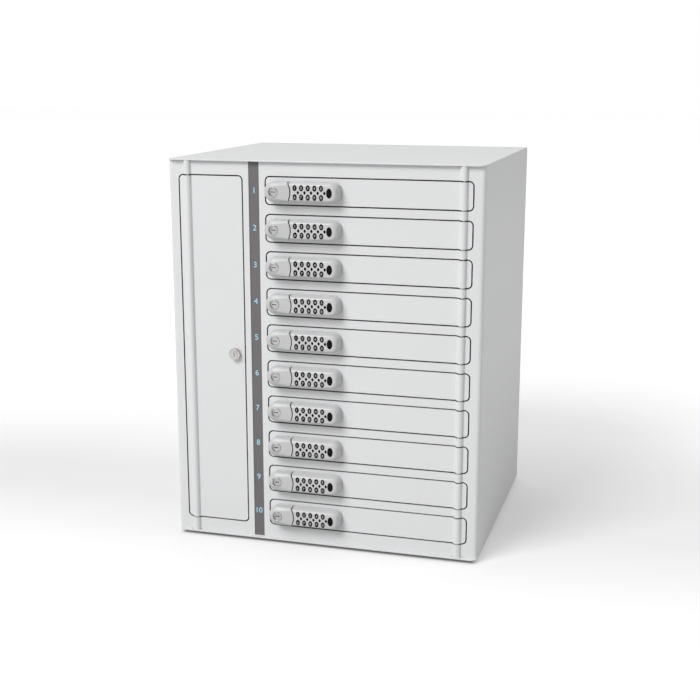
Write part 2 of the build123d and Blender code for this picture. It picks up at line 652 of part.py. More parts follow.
def hinged_pan(x0, x1, low, high, hinge_x):
    """A door for the opening given: a pressed pan with its half-round hinge bead."""
    dx0, dx1, dlow, dhigh = x0 + GAP, x1 - GAP, low + GAP, high - GAP
    with BuildPart() as pan:
        add(pan_block(dx0, dx1, dlow, dhigh, 0, hinge_x, BEAD_R, FRONT))
        hollow = pan_block(dx0 + SHEET_T, dx1 - SHEET_T, dlow + SHEET_T, dhigh - SHEET_T,
                           SHEET_T, hinge_x, BEAD_R - FASCIA_T, SHEET_BACK)
        add(hollow, mode=Mode.SUBTRACT)
        with Locations((hinge_x, HINGE_Y, (low + high) / 2)):
            Cylinder(ROD_R + ROD_PLAY, high - low, mode=Mode.SUBTRACT)
    return pan.part


# Compartment doors. The lowest is modelled, and the others repeat it upwards.
with BuildPart() as compartment_door:
    add(hinged_pan(OPENING_X0, OPENING_X1, STACK_LOW, STACK_LOW + OPENING_H, HINGE_X))
    with Locations((LOCK_X, SHEET_BACK, LOWEST_Z)):
        Cylinder(BARREL_R + BARREL_PLAY, 4 * FASCIA_T, rotation=(90, 0, 0), mode=Mode.SUBTRACT)
    with Locations(*[(LOCK_X + u, SHEET_BACK, LOWEST_Z) for u in FIX_PLACES]):
        Cylinder(FIX_SCREW_R, 4 * FASCIA_T, rotation=(90, 0, 0), mode=Mode.SUBTRACT)

# Service door
with BuildPart() as service_door:
    add(hinged_pan(SERVICE_X0, SERVICE_X1, STACK_LOW, STACK_LOW + STACK_H, SERVICE_HINGE_X))
    with Locations((SERVICE_LOCK_X, SHEET_BACK, STACK_Z)):
        Cylinder(SERVICE_BARREL_R + BARREL_PLAY, 4 * FASCIA_T, rotation=(90, 0, 0),
                 mode=Mode.SUBTRACT)
save(service_door.part, "service_door")


def tangent_point(radius, u, v):
    """Where a line from the point (u, v) touches a circle round the spindle."""
    reach = math.hypot(u, v)
    angle = math.atan2(v, u) + math.acos(radius / reach)
    return radius * math.cos(angle), radius * math.sin(angle)


def at_lock(height):
    """The plane at this height above the lowest door, centred on its spindle."""
    return Plane(origin=(LOCK_X, FRONT - height, LOWEST_Z), x_dir=(1, 0, 0), z_dir=(0, -1, 0))


def housing_outline(nose_r, half_h, right, corner_r):
    """The outline of the lock: a round left end and a square right one."""
    tu, tv = tangent_point(nose_r, SEAM_R, half_h)
    shift = corner_r * (1 - math.sqrt(0.5))
    with BuildSketch() as outline:
        with BuildLine():
            ThreePointArc((tu, -tv), (-nose_r, 0), (tu, tv))
            Line((tu, tv), (SEAM_R, half_h))
            Line((SEAM_R, half_h), (right - corner_r, half_h))
            ThreePointArc((right - corner_r, half_h), (right - shift, half_h - shift),
                          (right, half_h - corner_r))
            Line((right, half_h - corner_r), (right, corner_r - half_h))
            ThreePointArc((right, corner_r - half_h), (right - shift, shift - half_h),
                          (right - corner_r, -half_h))
            Line((right - corner_r, -half_h), (SEAM_R, -half_h))
            Line((SEAM_R, -half_h), (tu, -tv))
        make_face()
    return outline.sketch


def knob_outline(nose_r, half_h):
    """The outline of the knob, run on past the seam."""
    tu, tv = tangent_point(nose_r, SEAM_R, half_h)
    end = SEAM_R + KNOB_RUN_ON
    with BuildSketch() as outline:
        with BuildLine():
            ThreePointArc((tu, -tv), (-nose_r, 0), (tu, tv))
            Line((tu, tv), (SEAM_R, half_h))
            Line((SEAM_R, half_h), (end, half_h))
            Line((end, half_h), (end, -half_h))
            Line((end, -half_h), (SEAM_R, -half_h))
            Line((SEAM_R, -half_h), (tu, -tv))
        make_face()
    return outline.sketch


key_places = [(KEY_FIRST + i * KEY_PITCH, row * KEY_ROW)
              for row in (1, -1) for i in range(KEY_COLUMNS)]
mark_places = [(KEY_FIRST + (i + 0.5) * KEY_PITCH, 0) for i in range(KEY_COLUMNS)]
face_half = LOCK_H / 2 - FACE_INSET_SIDE
pocket_d = KEY_BELOW + KEY_TRAVEL + KEY_PLAY

# Lock housing: a base plate along the whole lock, and the raised keypad
with BuildPart() as housing:
    with BuildSketch(at_lock(LOCK_BASE_T)):
        add(housing_outline(LOCK_LEFT_R, LOCK_H / 2, LOCK_RIGHT, LOCK_END_R))
    with BuildSketch(at_lock(LOCK_FACE)):
        add(housing_outline(LOCK_LEFT_R - FACE_INSET_SIDE, face_half,
                            LOCK_RIGHT - FACE_INSET_END, LOCK_END_R - FACE_INSET_SIDE))
    loft(ruled=True)
    fillet(housing.edges().group_by(Axis.Y)[0], LOCK_EDGE_R)
    with BuildSketch(at_lock(LOCK_BASE_T)):
        Circle(SEAM_R)
    extrude(amount=LOCK_FACE, mode=Mode.SUBTRACT)
    with BuildSketch(at_lock(0)):
        add(housing_outline(LOCK_LEFT_R, LOCK_H / 2, LOCK_RIGHT, LOCK_END_R))
    extrude(amount=LOCK_BASE_T)
    with BuildSketch(at_lock(0)):
        Circle(BARREL_R)
    extrude(amount=-(DOOR_DEPTH + CAM_CLEAR - KNOB_CLEAR))
    with BuildSketch(at_lock(LOCK_BASE_T)):
        Circle(SPINDLE_R + SPINDLE_PLAY)
    extrude(amount=-2 * DOOR_DEPTH, mode=Mode.SUBTRACT)
    with BuildSketch(at_lock(LOCK_FACE)):
        with Locations(*key_places):
            Ellipse(KEY_W / 2 + KEY_PLAY, KEY_H / 2 + KEY_PLAY)
        with Locations((CLEAR_KEY, 0)):
            Ellipse(CLEAR_KEY_W / 2 + KEY_PLAY, CLEAR_KEY_H / 2 + KEY_PLAY)
    extrude(amount=-pocket_d, mode=Mode.SUBTRACT)
    with BuildSketch(at_lock(LOCK_FACE)):
        with Locations(*mark_places):
            Polygon((-MARK_W / 2, 0), (0, -MARK_H / 2), (MARK_W / 2, 0), (0, MARK_H / 2))
    extrude(amount=-MARK_D, mode=Mode.SUBTRACT)
    with BuildSketch(at_lock(0)):
        with Locations(*[(u, 0) for u in FIX_PLACES]):
            Circle(FIX_SCREW_R)
    extrude(amount=FIX_DEPTH, mode=Mode.SUBTRACT)


def fixing_screw(u):
    """A screw from inside the door into the housing."""
    with BuildPart() as screw:
        with BuildSketch(at_lock(-FASCIA_T)):
            with Locations((u, 0)):
                Circle(FIX_HEAD_R)
        extrude(amount=-FIX_HEAD_T)
        fillet(screw.edges().group_by(Axis.Y)[-1], FIX_HEAD_T / 2)
        with BuildSketch(at_lock(-FASCIA_T)):
            with Locations((u, 0)):
                Circle(FIX_SCREW_R)
        extrude(amount=FASCIA_T + FIX_DEPTH)
    return screw.part


lock_body = [housing.part] + [fixing_screw(u) for u in FIX_PLACES]

# Knob with its spindle
with BuildPart() as knob:
    knob_low = LOCK_BASE_T + KNOB_CLEAR
    with BuildSketch(at_lock(knob_low)):
        add(knob_outline(LOCK_LEFT_R, LOCK_H / 2))
    with BuildSketch(at_lock(KNOB_FACE)):
        add(knob_outline(KNOB_NOSE_R, face_half))
    loft(ruled=True)
    fillet(knob.edges().group_by(Axis.Y)[0], LOCK_EDGE_R)
    with BuildSketch(at_lock(knob_low)):
        Circle(SEAM_R - SEAM_GAP)
    extrude(amount=KNOB_FACE, mode=Mode.INTERSECT)
    with BuildSketch(at_lock(KNOB_FACE)):
        Circle(KNOB_BOSS_R)
    extrude(amount=KNOB_BOSS)
    with BuildSketch(at_lock(KNOB_FACE + KNOB_BOSS)):
        Circle(PLUG_R + PLUG_PLAY)
    extrude(amount=-PLUG_SEAT, mode=Mode.SUBTRACT)
    with BuildSketch(at_lock(knob_low)):
        Circle(SPINDLE_R)
    extrude(amount=-(knob_low + DOOR_DEPTH + CAM_CLEAR))
    with BuildSketch(at_lock(-DOOR_DEPTH - CAM_CLEAR)):
        Circle(CAM_STUD_R)
    extrude(amount=-CAM_T)

# Key plug in the knob, for the keyed override
with BuildPart() as plug:
    with BuildSketch(at_lock(KNOB_FACE + KNOB_BOSS - PLUG_SEAT)):
        Circle(PLUG_R)
    extrude(amount=PLUG_SEAT - PLUG_SINK)
    with BuildSketch(at_lock(KNOB_FACE + KNOB_BOSS - PLUG_SINK)):
        Rectangle(KEYWAY_L, KEYWAY_W)
    extrude(amount=-KEYWAY_D, mode=Mode.SUBTRACT)


def cam_plate(reach, width, stud_r, turn):
    """A flat cam on the plane of the current spindle; turn is its direction in degrees."""
    with BuildSketch(Plane.XY) as outline:
        Circle(width / 2)
        with Locations((reach / 2, 0)):
            Rectangle(reach, width)
        Circle(reach, mode=Mode.INTERSECT)
        Circle(stud_r, mode=Mode.SUBTRACT)
    return outline.sketch.rotate(Axis.Z, turn)


# Cam and the screw that holds it. At rest the cam hangs down, clear of the divider.
with BuildPart() as cam:
    with BuildSketch(at_lock(-DOOR_DEPTH - CAM_CLEAR)):
        add(cam_plate(CAM_REACH, CAM_W, CAM_STUD_R, -90))
    extrude(amount=-CAM_T)
with BuildPart() as cam_nut:
    with BuildSketch(at_lock(-DOOR_DEPTH - CAM_CLEAR - CAM_T)):
        RegularPolygon(CAM_NUT_R, 6)
    extrude(amount=-CAM_NUT_T)
lock_knob = [knob.part, plug.part, cam.part, cam_nut.part]


def key_button(u, v, width, height):
    """One oval key, in its pocket and a little proud of the face."""
    with BuildPart() as button:
        with BuildSketch(at_lock(LOCK_FACE - KEY_BELOW)):
            with Locations((u, v)):
                Ellipse(width / 2, height / 2)
        extrude(amount=KEY_BELOW + KEY_PROUD)
        fillet(button.edges().group_by(Axis.Y)[0], KEY_PROUD / 2)
    return button.part


lock_keys = [key_button(u, v, KEY_W, KEY_H) for u, v in key_places]
lock_keys.append(key_button(CLEAR_KEY, 0, CLEAR_KEY_W, CLEAR_KEY_H))

# The ten doors and their locks, numbered from the top
for step in range(DOOR_COUNT):
    number = f"{DOOR_COUNT - step:02d}"
    raised = Location((0, 0, step * DOOR_PITCH))
    save(compartment_door.part.moved(raised), f"compartment_door_{number}")
    save_group([solid.moved(raised) for solid in lock_body], f"lock_body_{number}")
    save_group([solid.moved(raised) for solid in lock_knob], f"lock_knob_{number}")
    save_group([solid.moved(raised) for solid in lock_keys], f"lock_keys_{number}")


def at_service_lock(height):
    """The plane at this height above the service door, centred on its lock."""
    return Plane(origin=(SERVICE_LOCK_X, FRONT - height, STACK_Z), x_dir=(1, 0, 0),
                 z_dir=(0, -1, 0))


# Service lock: rosette and threaded barrel, with the nut that clamps it to the door
with BuildPart() as service_lock_body:
    with BuildSketch(at_service_lock(0)):
        Circle(ROSETTE_R)
    extrude(amount=ROSETTE_T)
    fillet(service_lock_body.edges().group_by(Axis.Y)[0], ROSETTE_EDGE_R)
    with BuildSketch(at_service_lock(0)):
        Circle(SERVICE_BARREL_R)
    extrude(amount=-(DOOR_DEPTH + CAM_CLEAR - KNOB_CLEAR))
    with BuildSketch(at_service_lock(ROSETTE_T)):
        Circle(SERVICE_PLUG_R + SPINDLE_PLAY)
    extrude(amount=-(ROSETTE_T + DOOR_DEPTH + CAM_CLEAR), mode=Mode.SUBTRACT)
    with BuildSketch(at_service_lock(ROSETTE_T)):
        with Locations((0, ROSETTE_R - NOTCH_D / 2)):
            Rectangle(NOTCH_W, NOTCH_D)
    extrude(amount=-NOTCH_D, mode=Mode.SUBTRACT)
with BuildPart() as service_nut:
    with BuildSketch(at_service_lock(-FASCIA_T)):
        RegularPolygon(SERVICE_NUT_R, 6)
        Circle(SERVICE_BARREL_R, mode=Mode.SUBTRACT)
    extrude(amount=-SERVICE_NUT_T)
save_group([service_lock_body.part, service_nut.part], "service_lock_body")

# Plug, cam and cam screw of the service lock. At rest the cam hangs down.
with BuildPart() as service_plug:
    with BuildSketch(at_service_lock(-DOOR_DEPTH - CAM_CLEAR)):
        Circle(SERVICE_PLUG_R)
    extrude(amount=DOOR_DEPTH + CAM_CLEAR + ROSETTE_T + SERVICE_PLUG_PROUD)
    with BuildSketch(at_service_lock(ROSETTE_T + SERVICE_PLUG_PROUD)):
        Rectangle(KEYWAY_W, KEYWAY_L)
    extrude(amount=-KEYWAY_D, mode=Mode.SUBTRACT)
    with BuildSketch(at_service_lock(-DOOR_DEPTH - CAM_CLEAR)):
        Circle(SERVICE_STUB_R)
    extrude(amount=-CAM_T)
with BuildPart() as service_cam:
    with BuildSketch(at_service_lock(-DOOR_DEPTH - CAM_CLEAR)):
        add(cam_plate(SERVICE_CAM_REACH, 2 * SERVICE_BARREL_R, SERVICE_STUB_R, -90))
    extrude(amount=-CAM_T)
with BuildPart() as service_cam_nut:
    with BuildSketch(at_service_lock(-DOOR_DEPTH - CAM_CLEAR - CAM_T)):
        RegularPolygon(CAM_NUT_R, 6)
    extrude(amount=-CAM_NUT_T)
save_group([service_plug.part, service_cam.part, service_cam_nut.part], "service_lock_plug")
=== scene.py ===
# %% [markdown]
# # A laptop charging locker
# This file dresses a locker made in CAD. The sheet-steel shell, doors, locks and everything that
# turns come from the CAD model and stay where they are. Here they get their finishes, and the small
# things that a CAD model leaves plain, such as printed numerals and moulded keys, are modelled.

# %% Load the locker
import math
import bmesh
import bpy
from mathutils import Matrix, Vector


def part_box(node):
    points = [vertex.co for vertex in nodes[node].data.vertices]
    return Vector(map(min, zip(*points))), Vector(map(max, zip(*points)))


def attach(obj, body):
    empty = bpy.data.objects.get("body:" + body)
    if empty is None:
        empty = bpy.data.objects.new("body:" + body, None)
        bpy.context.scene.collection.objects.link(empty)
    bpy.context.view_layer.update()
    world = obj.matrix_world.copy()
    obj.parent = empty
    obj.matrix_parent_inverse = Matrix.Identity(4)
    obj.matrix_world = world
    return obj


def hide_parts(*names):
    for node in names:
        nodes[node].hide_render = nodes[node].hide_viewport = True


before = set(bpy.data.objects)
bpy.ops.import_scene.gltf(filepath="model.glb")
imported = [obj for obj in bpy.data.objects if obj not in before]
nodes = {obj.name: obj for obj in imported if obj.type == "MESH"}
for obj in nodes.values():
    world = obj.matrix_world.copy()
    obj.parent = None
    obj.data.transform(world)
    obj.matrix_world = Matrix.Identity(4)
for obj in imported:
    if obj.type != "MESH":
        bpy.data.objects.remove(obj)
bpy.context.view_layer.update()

# %% [markdown]
# ## Where things are
# Every place below is read from the CAD nodes, so that a piece made here sits on what carries it.
# The doors are counted from the top, as the numerals on the strip are.

# %% Measure the doors and locks
DOOR_NAMES = [f"{n:02d}" for n in range(1, 11)]
TOP_LIP = 0.0063          # the top panel stands out by this much over the doors
SPINDLE_TO_END = 0.1185   # from a lock's spindle to the right end of its housing


def middle(node):
    """The middle of a CAD node's box."""
    low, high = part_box(node)
    return (low + high) / 2


door_height = {n: middle(f"compartment_door_{n}").z for n in DOOR_NAMES}
door_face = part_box("top_panel")[0].y + TOP_LIP
strip_low, strip_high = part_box("number_strip")
spindle_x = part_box("lock_body_01")[1].x - SPINDLE_TO_END
print("door 01 is at a height of", round(door_height["01"], 4), "m")
print("the spindles are at x", round(spindle_x, 4))

# %% [markdown]
# ## Camera
# The photograph was taken from the front, a little to the right and above. The camera's place,
# turn and lens were solved from the corners of the doors and the shell in the photograph.

# %% Set the camera
TILT = 0.228   # below level, in radians
TURN = 0.279   # to the left, in radians
camera_data = bpy.data.cameras.new("camera")
camera_data.sensor_width = 36.0
camera_data.lens = 62.62
camera_data.clip_end = 50.0
camera = bpy.data.objects.new("camera", camera_data)
camera.location = (0.6276, -2.2455, 0.8630)
camera.rotation_euler = (math.pi / 2 - TILT, 0.0, TURN)
bpy.context.scene.collection.objects.link(camera)
bpy.context.scene.camera = camera
bpy.context.scene.view_settings.view_transform = "Standard"
print("camera with a", camera_data.lens, "mm lens")

# %% [markdown]
# ## Helpers for materials
# Every finish is a node tree on a Principled shader. Patterns read Object coordinates, in metres,
# so they have the same real size on every piece.


# %% Material helpers
def new_finish(name, colour, roughness, metallic=0.0):
    """A material with a Principled shader, and its Object coordinates."""
    finish = bpy.data.materials.new(name)
    finish.use_nodes = True
    tree = finish.node_tree
    shader = tree.nodes["Principled BSDF"]
    shader.inputs["Base Color"].default_value = (*colour, 1.0)
    shader.inputs["Roughness"].default_value = roughness
    shader.inputs["Metallic"].default_value = metallic
    place = tree.nodes.new("ShaderNodeTexCoord")
    return finish, tree, shader, place.outputs["Object"]


def noise(tree, place, scale, detail=2.0, stretch=None):
    """A noise pattern; scale is in waves per metre."""
    if stretch:
        mapping = tree.nodes.new("ShaderNodeMapping")
        mapping.inputs["Scale"].default_value = stretch
        tree.links.new(place, mapping.inputs["Vector"])
        place = mapping.outputs["Vector"]
    texture = tree.nodes.new("ShaderNodeTexNoise")
    texture.inputs["Scale"].default_value = scale
    texture.inputs["Detail"].default_value = detail
    tree.links.new(place, texture.inputs["Vector"])
    return texture.outputs["Fac"]


def ramp(tree, value, start, end, low, high):
    """A straight ramp of a value, from low at start to high at end and flat beyond."""
    span = tree.nodes.new("ShaderNodeMapRange")
    for label, number in (("From Min", start), ("From Max", end), ("To Min", low), ("To Max", high)):
        span.inputs[label].default_value = number
    tree.links.new(value, span.inputs["Value"])
    return span.outputs["Result"]


def vary(tree, factor, socket, low, high):
    """Feeds a socket with a value from low to high; noise lies mostly between 0.3 and 0.7."""
    tree.links.new(ramp(tree, factor, 0.3, 0.7, low, high), socket)


def mix_colours(tree, factor, socket, dark):
    """Feeds a colour socket with a mix that starts at the dark colour, and returns its other end."""
    mix = tree.nodes.new("ShaderNodeMix")
    mix.data_type = "RGBA"
    mix.inputs["A"].default_value = (*dark, 1.0)
    tree.links.new(factor, mix.inputs["Factor"])
    tree.links.new(mix.outputs["Result"], socket)
    return mix.inputs["B"]


def tint(tree, factor, socket, dark, light):
    """Feeds a colour socket with a mix of two colours."""
    mix_colours(tree, factor, socket, dark).default_value = (*light, 1.0)


def emboss(tree, shader, height, distance, strength=1.0):
    """Adds fine relief; distance is its depth in metres."""
    bump = tree.nodes.new("ShaderNodeBump")
    bump.inputs["Distance"].default_value = distance
    bump.inputs["Strength"].default_value = strength
    tree.links.new(height, bump.inputs["Height"])
    tree.links.new(bump.outputs["Normal"], shader.inputs["Normal"])


def shade(colour, share):
    """A colour made darker or lighter."""
    return tuple(min(1.0, channel * share) for channel in colour)


print("material helpers are ready")

# %% [markdown]
# ## Powder coat
# The sheets have a pale grey powder coat. Powder melts into a film with a faint orange-peel
# relief, about a millimetre from crest to crest, and its sheen is uneven by a few percent. Paint
# photographs could be wrapped round the sheets, but noise on Object coordinates never repeats.
# Shade is painted into the coat's colour in narrow gaps and where parts meet. Ambient
# occlusion over about a centimetre finds those walls, and leaves open surfaces alone.


# %% Powder coat
GAP_REACH = 0.012                 # how far the test for a narrow gap looks
GAP_SHELTERED, GAP_OPEN = 0.1, 0.54   # openness where the painted shade is darkest, and where there is none
GAP_SHADE = 0.12                  # share of its colour that a finish keeps in the painted shade of a gap
CLOUD_WAVES, SHEEN_WAVES, PEEL_WAVES = 2.2, 160.0, 900.0   # per metre


def thin_in_gaps(finish, colour):
    """Paints shade into a finish of this colour where walls stand close together."""
    tree = finish.node_tree
    base = tree.nodes["Principled BSDF"].inputs["Base Color"]
    coat = base.links[0].from_socket
    shelter = tree.nodes.new("ShaderNodeAmbientOcclusion")
    shelter.samples = 8
    shelter.inputs["Distance"].default_value = GAP_REACH
    openness = ramp(tree, shelter.outputs["AO"], GAP_SHELTERED, GAP_OPEN, 0.0, 1.0)
    tree.links.new(coat, mix_colours(tree, openness, base, shade(colour, GAP_SHADE)))


def powder_coat(name, colour, roughness, relief=0.00002):
    """A baked powder finish on sheet steel; relief is in metres."""
    finish, tree, shader, place = new_finish(name, colour, roughness)
    clouds = noise(tree, place, CLOUD_WAVES, 3.0)
    tint(tree, clouds, shader.inputs["Base Color"], shade(colour, 0.985), shade(colour, 1.015))
    sheen = noise(tree, place, SHEEN_WAVES)
    vary(tree, sheen, shader.inputs["Roughness"], roughness - 0.04, roughness + 0.04)
    emboss(tree, shader, noise(tree, place, PEEL_WAVES, 1.0), relief, 0.35)
    shader.inputs["Specular IOR Level"].default_value = 0.35
    # painted shade in narrow gaps and where parts meet
    thin_in_gaps(finish, colour)
    return finish


PAINT = (0.725, 0.73, 0.735)
cabinet_paint = powder_coat("cabinet_powder_coat", PAINT, 0.46)
door_paint = powder_coat("door_powder_coat", shade(PAINT, 1.01), 0.44)
inner_paint = powder_coat("inner_powder_coat", shade(PAINT, 0.97), 0.5)
knob_paint = powder_coat("knob_paint", (0.54, 0.542, 0.545), 0.33, 0.000008)
print("powder coats:", cabinet_paint.name, door_paint.name, inner_paint.name, knob_paint.name)

# %% [markdown]
# ## Moulded plastic and rubber
# The lock housings are moulded with a fine spark-eroded texture. The keys are matt silicone. Both
# are dielectric, so all their character is in the relief and in how rough it is. Shade is painted
# into the housings in narrow gaps as it is into the sheets, which shows the seam at the knob.


# %% Plastics and rubber
MOTTLE_WAVES, GLOSS_WAVES = 40.0, 300.0   # per metre


def moulded(name, colour, roughness, grain, relief, shine=0.5):
    """A moulded plastic or rubber with a fine texture; grain is in waves per metre."""
    finish, tree, shader, place = new_finish(name, colour, roughness)
    shader.inputs["Specular IOR Level"].default_value = shine
    mottle = noise(tree, place, MOTTLE_WAVES)
    tint(tree, mottle, shader.inputs["Base Color"], shade(colour, 0.96), shade(colour, 1.04))
    gloss = noise(tree, place, GLOSS_WAVES)
    vary(tree, gloss, shader.inputs["Roughness"], roughness - 0.05, roughness + 0.05)
    emboss(tree, shader, noise(tree, place, grain, 3.0), relief, 0.5)
    return finish


HOUSING_GREY = (0.56, 0.56, 0.565)
housing_plastic = moulded("lock_housing_plastic", HOUSING_GREY, 0.36, 2400.0, 0.00001, 0.6)
# painted shade in the narrow gaps, such as the seam at the knob
thin_in_gaps(housing_plastic, HOUSING_GREY)
key_silicone = moulded("key_silicone", (0.003, 0.003, 0.004), 0.55, 1800.0, 0.00001, 0.1)
foot_rubber = moulded("foot_rubber", (0.02, 0.02, 0.021), 0.75, 1500.0, 0.00003)
socket_plastic = moulded("socket_plastic", (0.74, 0.74, 0.72), 0.35, 2000.0, 0.00001)
inlet_plastic = moulded("inlet_plastic", (0.025, 0.025, 0.027), 0.45, 2000.0, 0.00001)
washer_nylon = moulded("washer_nylon", (0.78, 0.78, 0.74), 0.4, 1500.0, 0.00001)
print("plastics and rubbers are ready")

# %% [markdown]
# ## Bare and plated metal
# Plated parts are smooth with faint turning or drawing marks, so their noise is stretched along
# the way that the tool went.


# %% Metals
TARNISH_WAVES, TOOL_WAVES = 60.0, 1400.0   # per metre


def plated(name, colour, roughness, stretch, relief=0.000006):
    """A plated or drawn metal with fine marks stretched one way."""
    finish, tree, shader, place = new_finish(name, colour, roughness, 1.0)
    marks = noise(tree, place, TOOL_WAVES, 3.0, stretch)
    tarnish = noise(tree, place, TARNISH_WAVES)
    tint(tree, tarnish, shader.inputs["Base Color"], shade(colour, 0.92), shade(colour, 1.05))
    vary(tree, marks, shader.inputs["Roughness"], roughness - 0.06, roughness + 0.08)
    emboss(tree, shader, marks, relief, 0.4)
    return finish


lock_nickel = plated("lock_nickel", (0.52, 0.51, 0.49), 0.3, (1.0, 0.2, 1.0))
rod_steel = plated("rod_steel", (0.50, 0.50, 0.51), 0.32, (1.0, 1.0, 0.02))
zinc_plate = plated("zinc_plate", (0.48, 0.48, 0.47), 0.38, (1.0, 1.0, 1.0))
plug_metal = plated("plug_metal", (0.50, 0.50, 0.503), 0.42, (0.2, 1.0, 1.0))
print("metals are ready")

# %% [markdown]
# ## Number strip film and inks
# The strip is a printed film with a fine matt texture, in a warm mid grey. The numerals on it are
# printed in cyan ink, and the digits on the keys in pale grey. A film's texture is finer than that
# of a moulding, so the same recipe serves with a finer grain.

# %% Strip film and print
FILM_GRAIN = 3000.0
STRIP_GREY = (0.140, 0.134, 0.138)
strip_film = moulded("strip_film", STRIP_GREY, 0.55, FILM_GRAIN, 0.000006)
numeral_ink = moulded("numeral_ink", (0.34, 0.71, 0.82), 0.4, FILM_GRAIN, 0.000003)
digit_ink = moulded("digit_ink", (0.38, 0.38, 0.39), 0.45, FILM_GRAIN, 0.000003)
print("film and inks are ready")

# %% [markdown]
# ## Finishes on the CAD nodes
# Every CAD node gets one finish over all of it, because each stands for pieces of one material. A
# table of names keeps the choices in one place.


# %% Give every CAD node its finish
def dress(node, finish):
    """Puts a finish on all of a CAD node."""
    mesh = nodes[node].data
    if not mesh.materials:
        mesh.materials.append(finish)
    for slot in nodes[node].material_slots:
        slot.material = finish


DRESS = {"front_fascia": cabinet_paint, "side_panel_left": cabinet_paint,
         "side_panel_right": cabinet_paint, "top_panel": cabinet_paint,
         "base_panel": cabinet_paint, "back_panel": cabinet_paint,
         "bay_divider": inner_paint, "compartment_shelves": inner_paint,
         "adapter_trays": inner_paint, "number_strip": strip_film, "feet": foot_rubber,
         "hinge_rods": rod_steel, "hinge_washers": washer_nylon, "cable_edgings": foot_rubber,
         "socket_strip": socket_plastic, "mains_inlet": inlet_plastic,
         "back_panel_screws": zinc_plate, "service_door": door_paint,
         "service_lock_body": lock_nickel, "service_lock_plug": lock_nickel}
for n in DOOR_NAMES:
    DRESS[f"compartment_door_{n}"] = door_paint
    DRESS[f"lock_body_{n}"] = housing_plastic
    DRESS[f"lock_knob_{n}"] = knob_paint
    DRESS[f"lock_keys_{n}"] = key_silicone
for node, finish in DRESS.items():
    dress(node, finish)
print(len(DRESS), "nodes dressed")

# %% [markdown]
# ## How the locks are shaped
# Each lock is a moulded block with a round knob at its left end. The real one is soft as a pillow:
# its sides lean in and roll over into the face. The shape could be a box with bevels, but a bevel
# keeps one radius all round. A loft through levels lets the right end roll further than the sides.


# %% Outline and loft helpers
def arc(centre, radius, start, end, steps):
    """Points along an arc, with the angles in degrees."""
    return [(centre[0] + radius * math.cos(math.radians(start + (end - start) * i / steps)),
             centre[1] + radius * math.sin(math.radians(start + (end - start) * i / steps)))
            for i in range(steps + 1)]


def circle(radius, steps=36, centre=(0.0, 0.0)):
    """Points of a full circle."""
    return arc(centre, radius, 0, 360 - 360 / steps, steps - 1)


def straight(start, end, steps):
    """Points along a line, without its two ends."""
    return [(start[0] + (end[0] - start[0]) * i / steps, start[1] + (end[1] - start[1]) * i / steps)
            for i in range(1, steps)]


def at_lock(n, points, height):
    """Points beside and above a spindle, set at a height above the face of its door."""
    return [Vector((spindle_x + u, door_face - height, door_height[n] + v)) for u, v in points]


def smooth(mesh, limit=35.0):
    """Shades a mesh smooth, except where its faces meet at more than this many degrees."""
    mesh.shade_smooth()
    mesh.set_sharp_from_angle(angle=math.radians(limit))


def loft(name, rings, finish, limit=35.0):
    """A closed skin through rings that all have the same number of points."""
    shape = bmesh.new()
    loops = [[shape.verts.new(point) for point in ring] for ring in rings]
    for lower, upper in zip(loops, loops[1:]):
        for i in range(len(lower)):
            j = (i + 1) % len(lower)
            shape.faces.new((lower[i], lower[j], upper[j], upper[i]))
    shape.faces.new(loops[0][::-1])
    shape.faces.new(loops[-1])
    bmesh.ops.recalc_face_normals(shape, faces=shape.faces[:])
    mesh = bpy.data.meshes.new(name)
    shape.to_mesh(mesh)
    shape.free()
    smooth(mesh, limit)
    mesh.materials.append(finish)
    piece = bpy.data.objects.new(name, mesh)
    bpy.context.scene.collection.objects.link(piece)
    return piece


def join(name, parts):
    """One object from several meshes that share a finish."""
    whole = bmesh.new()
    for part in parts:
        whole.from_mesh(part.data)
    mesh = bpy.data.meshes.new(name)
    whole.to_mesh(mesh)
    whole.free()
    for finish in parts[0].data.materials:
        mesh.materials.append(finish)
    for part in parts:
        bpy.data.objects.remove(part)
    piece = bpy.data.objects.new(name, mesh)
    bpy.context.scene.collection.objects.link(piece)
    return piece


print("an arc of 90 degrees in 6 steps has", len(arc((0, 0), 1, 0, 90, 6)), "points")

# %% [markdown]
# ## Keypad housings
# A housing is a thin plate that runs under the whole lock, with the keypad block rising from it.
# Seen from the front the block's left end is a hollow arc about the spindle, where the knob turns.
# Every level of the block has the same outline, drawn in by a share of a quarter turn.

# %% Build the housings
SEAM_R = 0.0323        # the keypad block ends in a hollow arc of this radius
LOCK_HALF = 0.01775    # half the height of a lock
LOCK_RIGHT = 0.1182    # from the spindle to the right end
END_R = 0.0125         # corners of the right end, at the plate and at the face
FACE_END_R = 0.0095
NOSE_R = 0.0177        # round left end of the plate
PLATE_T = 0.003
PLATE_EDGE = 0.0004    # the plate's softened rim
BLOCK_INSET = 0.0003   # the block stands this far inside the plate's outline
FACE = 0.0215          # height of the keypad's face above the door
SIDE_LEAN = 0.0056     # how far the sides and the right end draw in on the way up
END_ROLL = 0.0085
LEVELS = 9
BARREL_R = 0.008
BARREL_ENDS = (0.001, -0.0122)


def keypad_level(half, right, corner):
    """The outline of the keypad block at one level, anticlockwise from the seam's lower end."""
    spread = math.degrees(math.asin(half / SEAM_R))
    seam = arc((0, 0), SEAM_R, spread, -spread, 14)
    low, high = seam[-1], seam[0]
    outline = [low] + straight(low, (right - corner, -half), 6)
    outline += arc((right - corner, corner - half), corner, -90, 0, 8)
    outline += arc((right - corner, half - corner), corner, 0, 90, 8)
    outline += straight((right - corner, half), high, 6) + seam[:-1]
    return outline


def rolled(level):
    """Height and inward shares of a level, from 0 at the plate to 1 at the face."""
    turn = level / LEVELS * math.pi / 2
    return math.sin(turn) ** 0.9, (1 - math.cos(turn)) ** 1.15


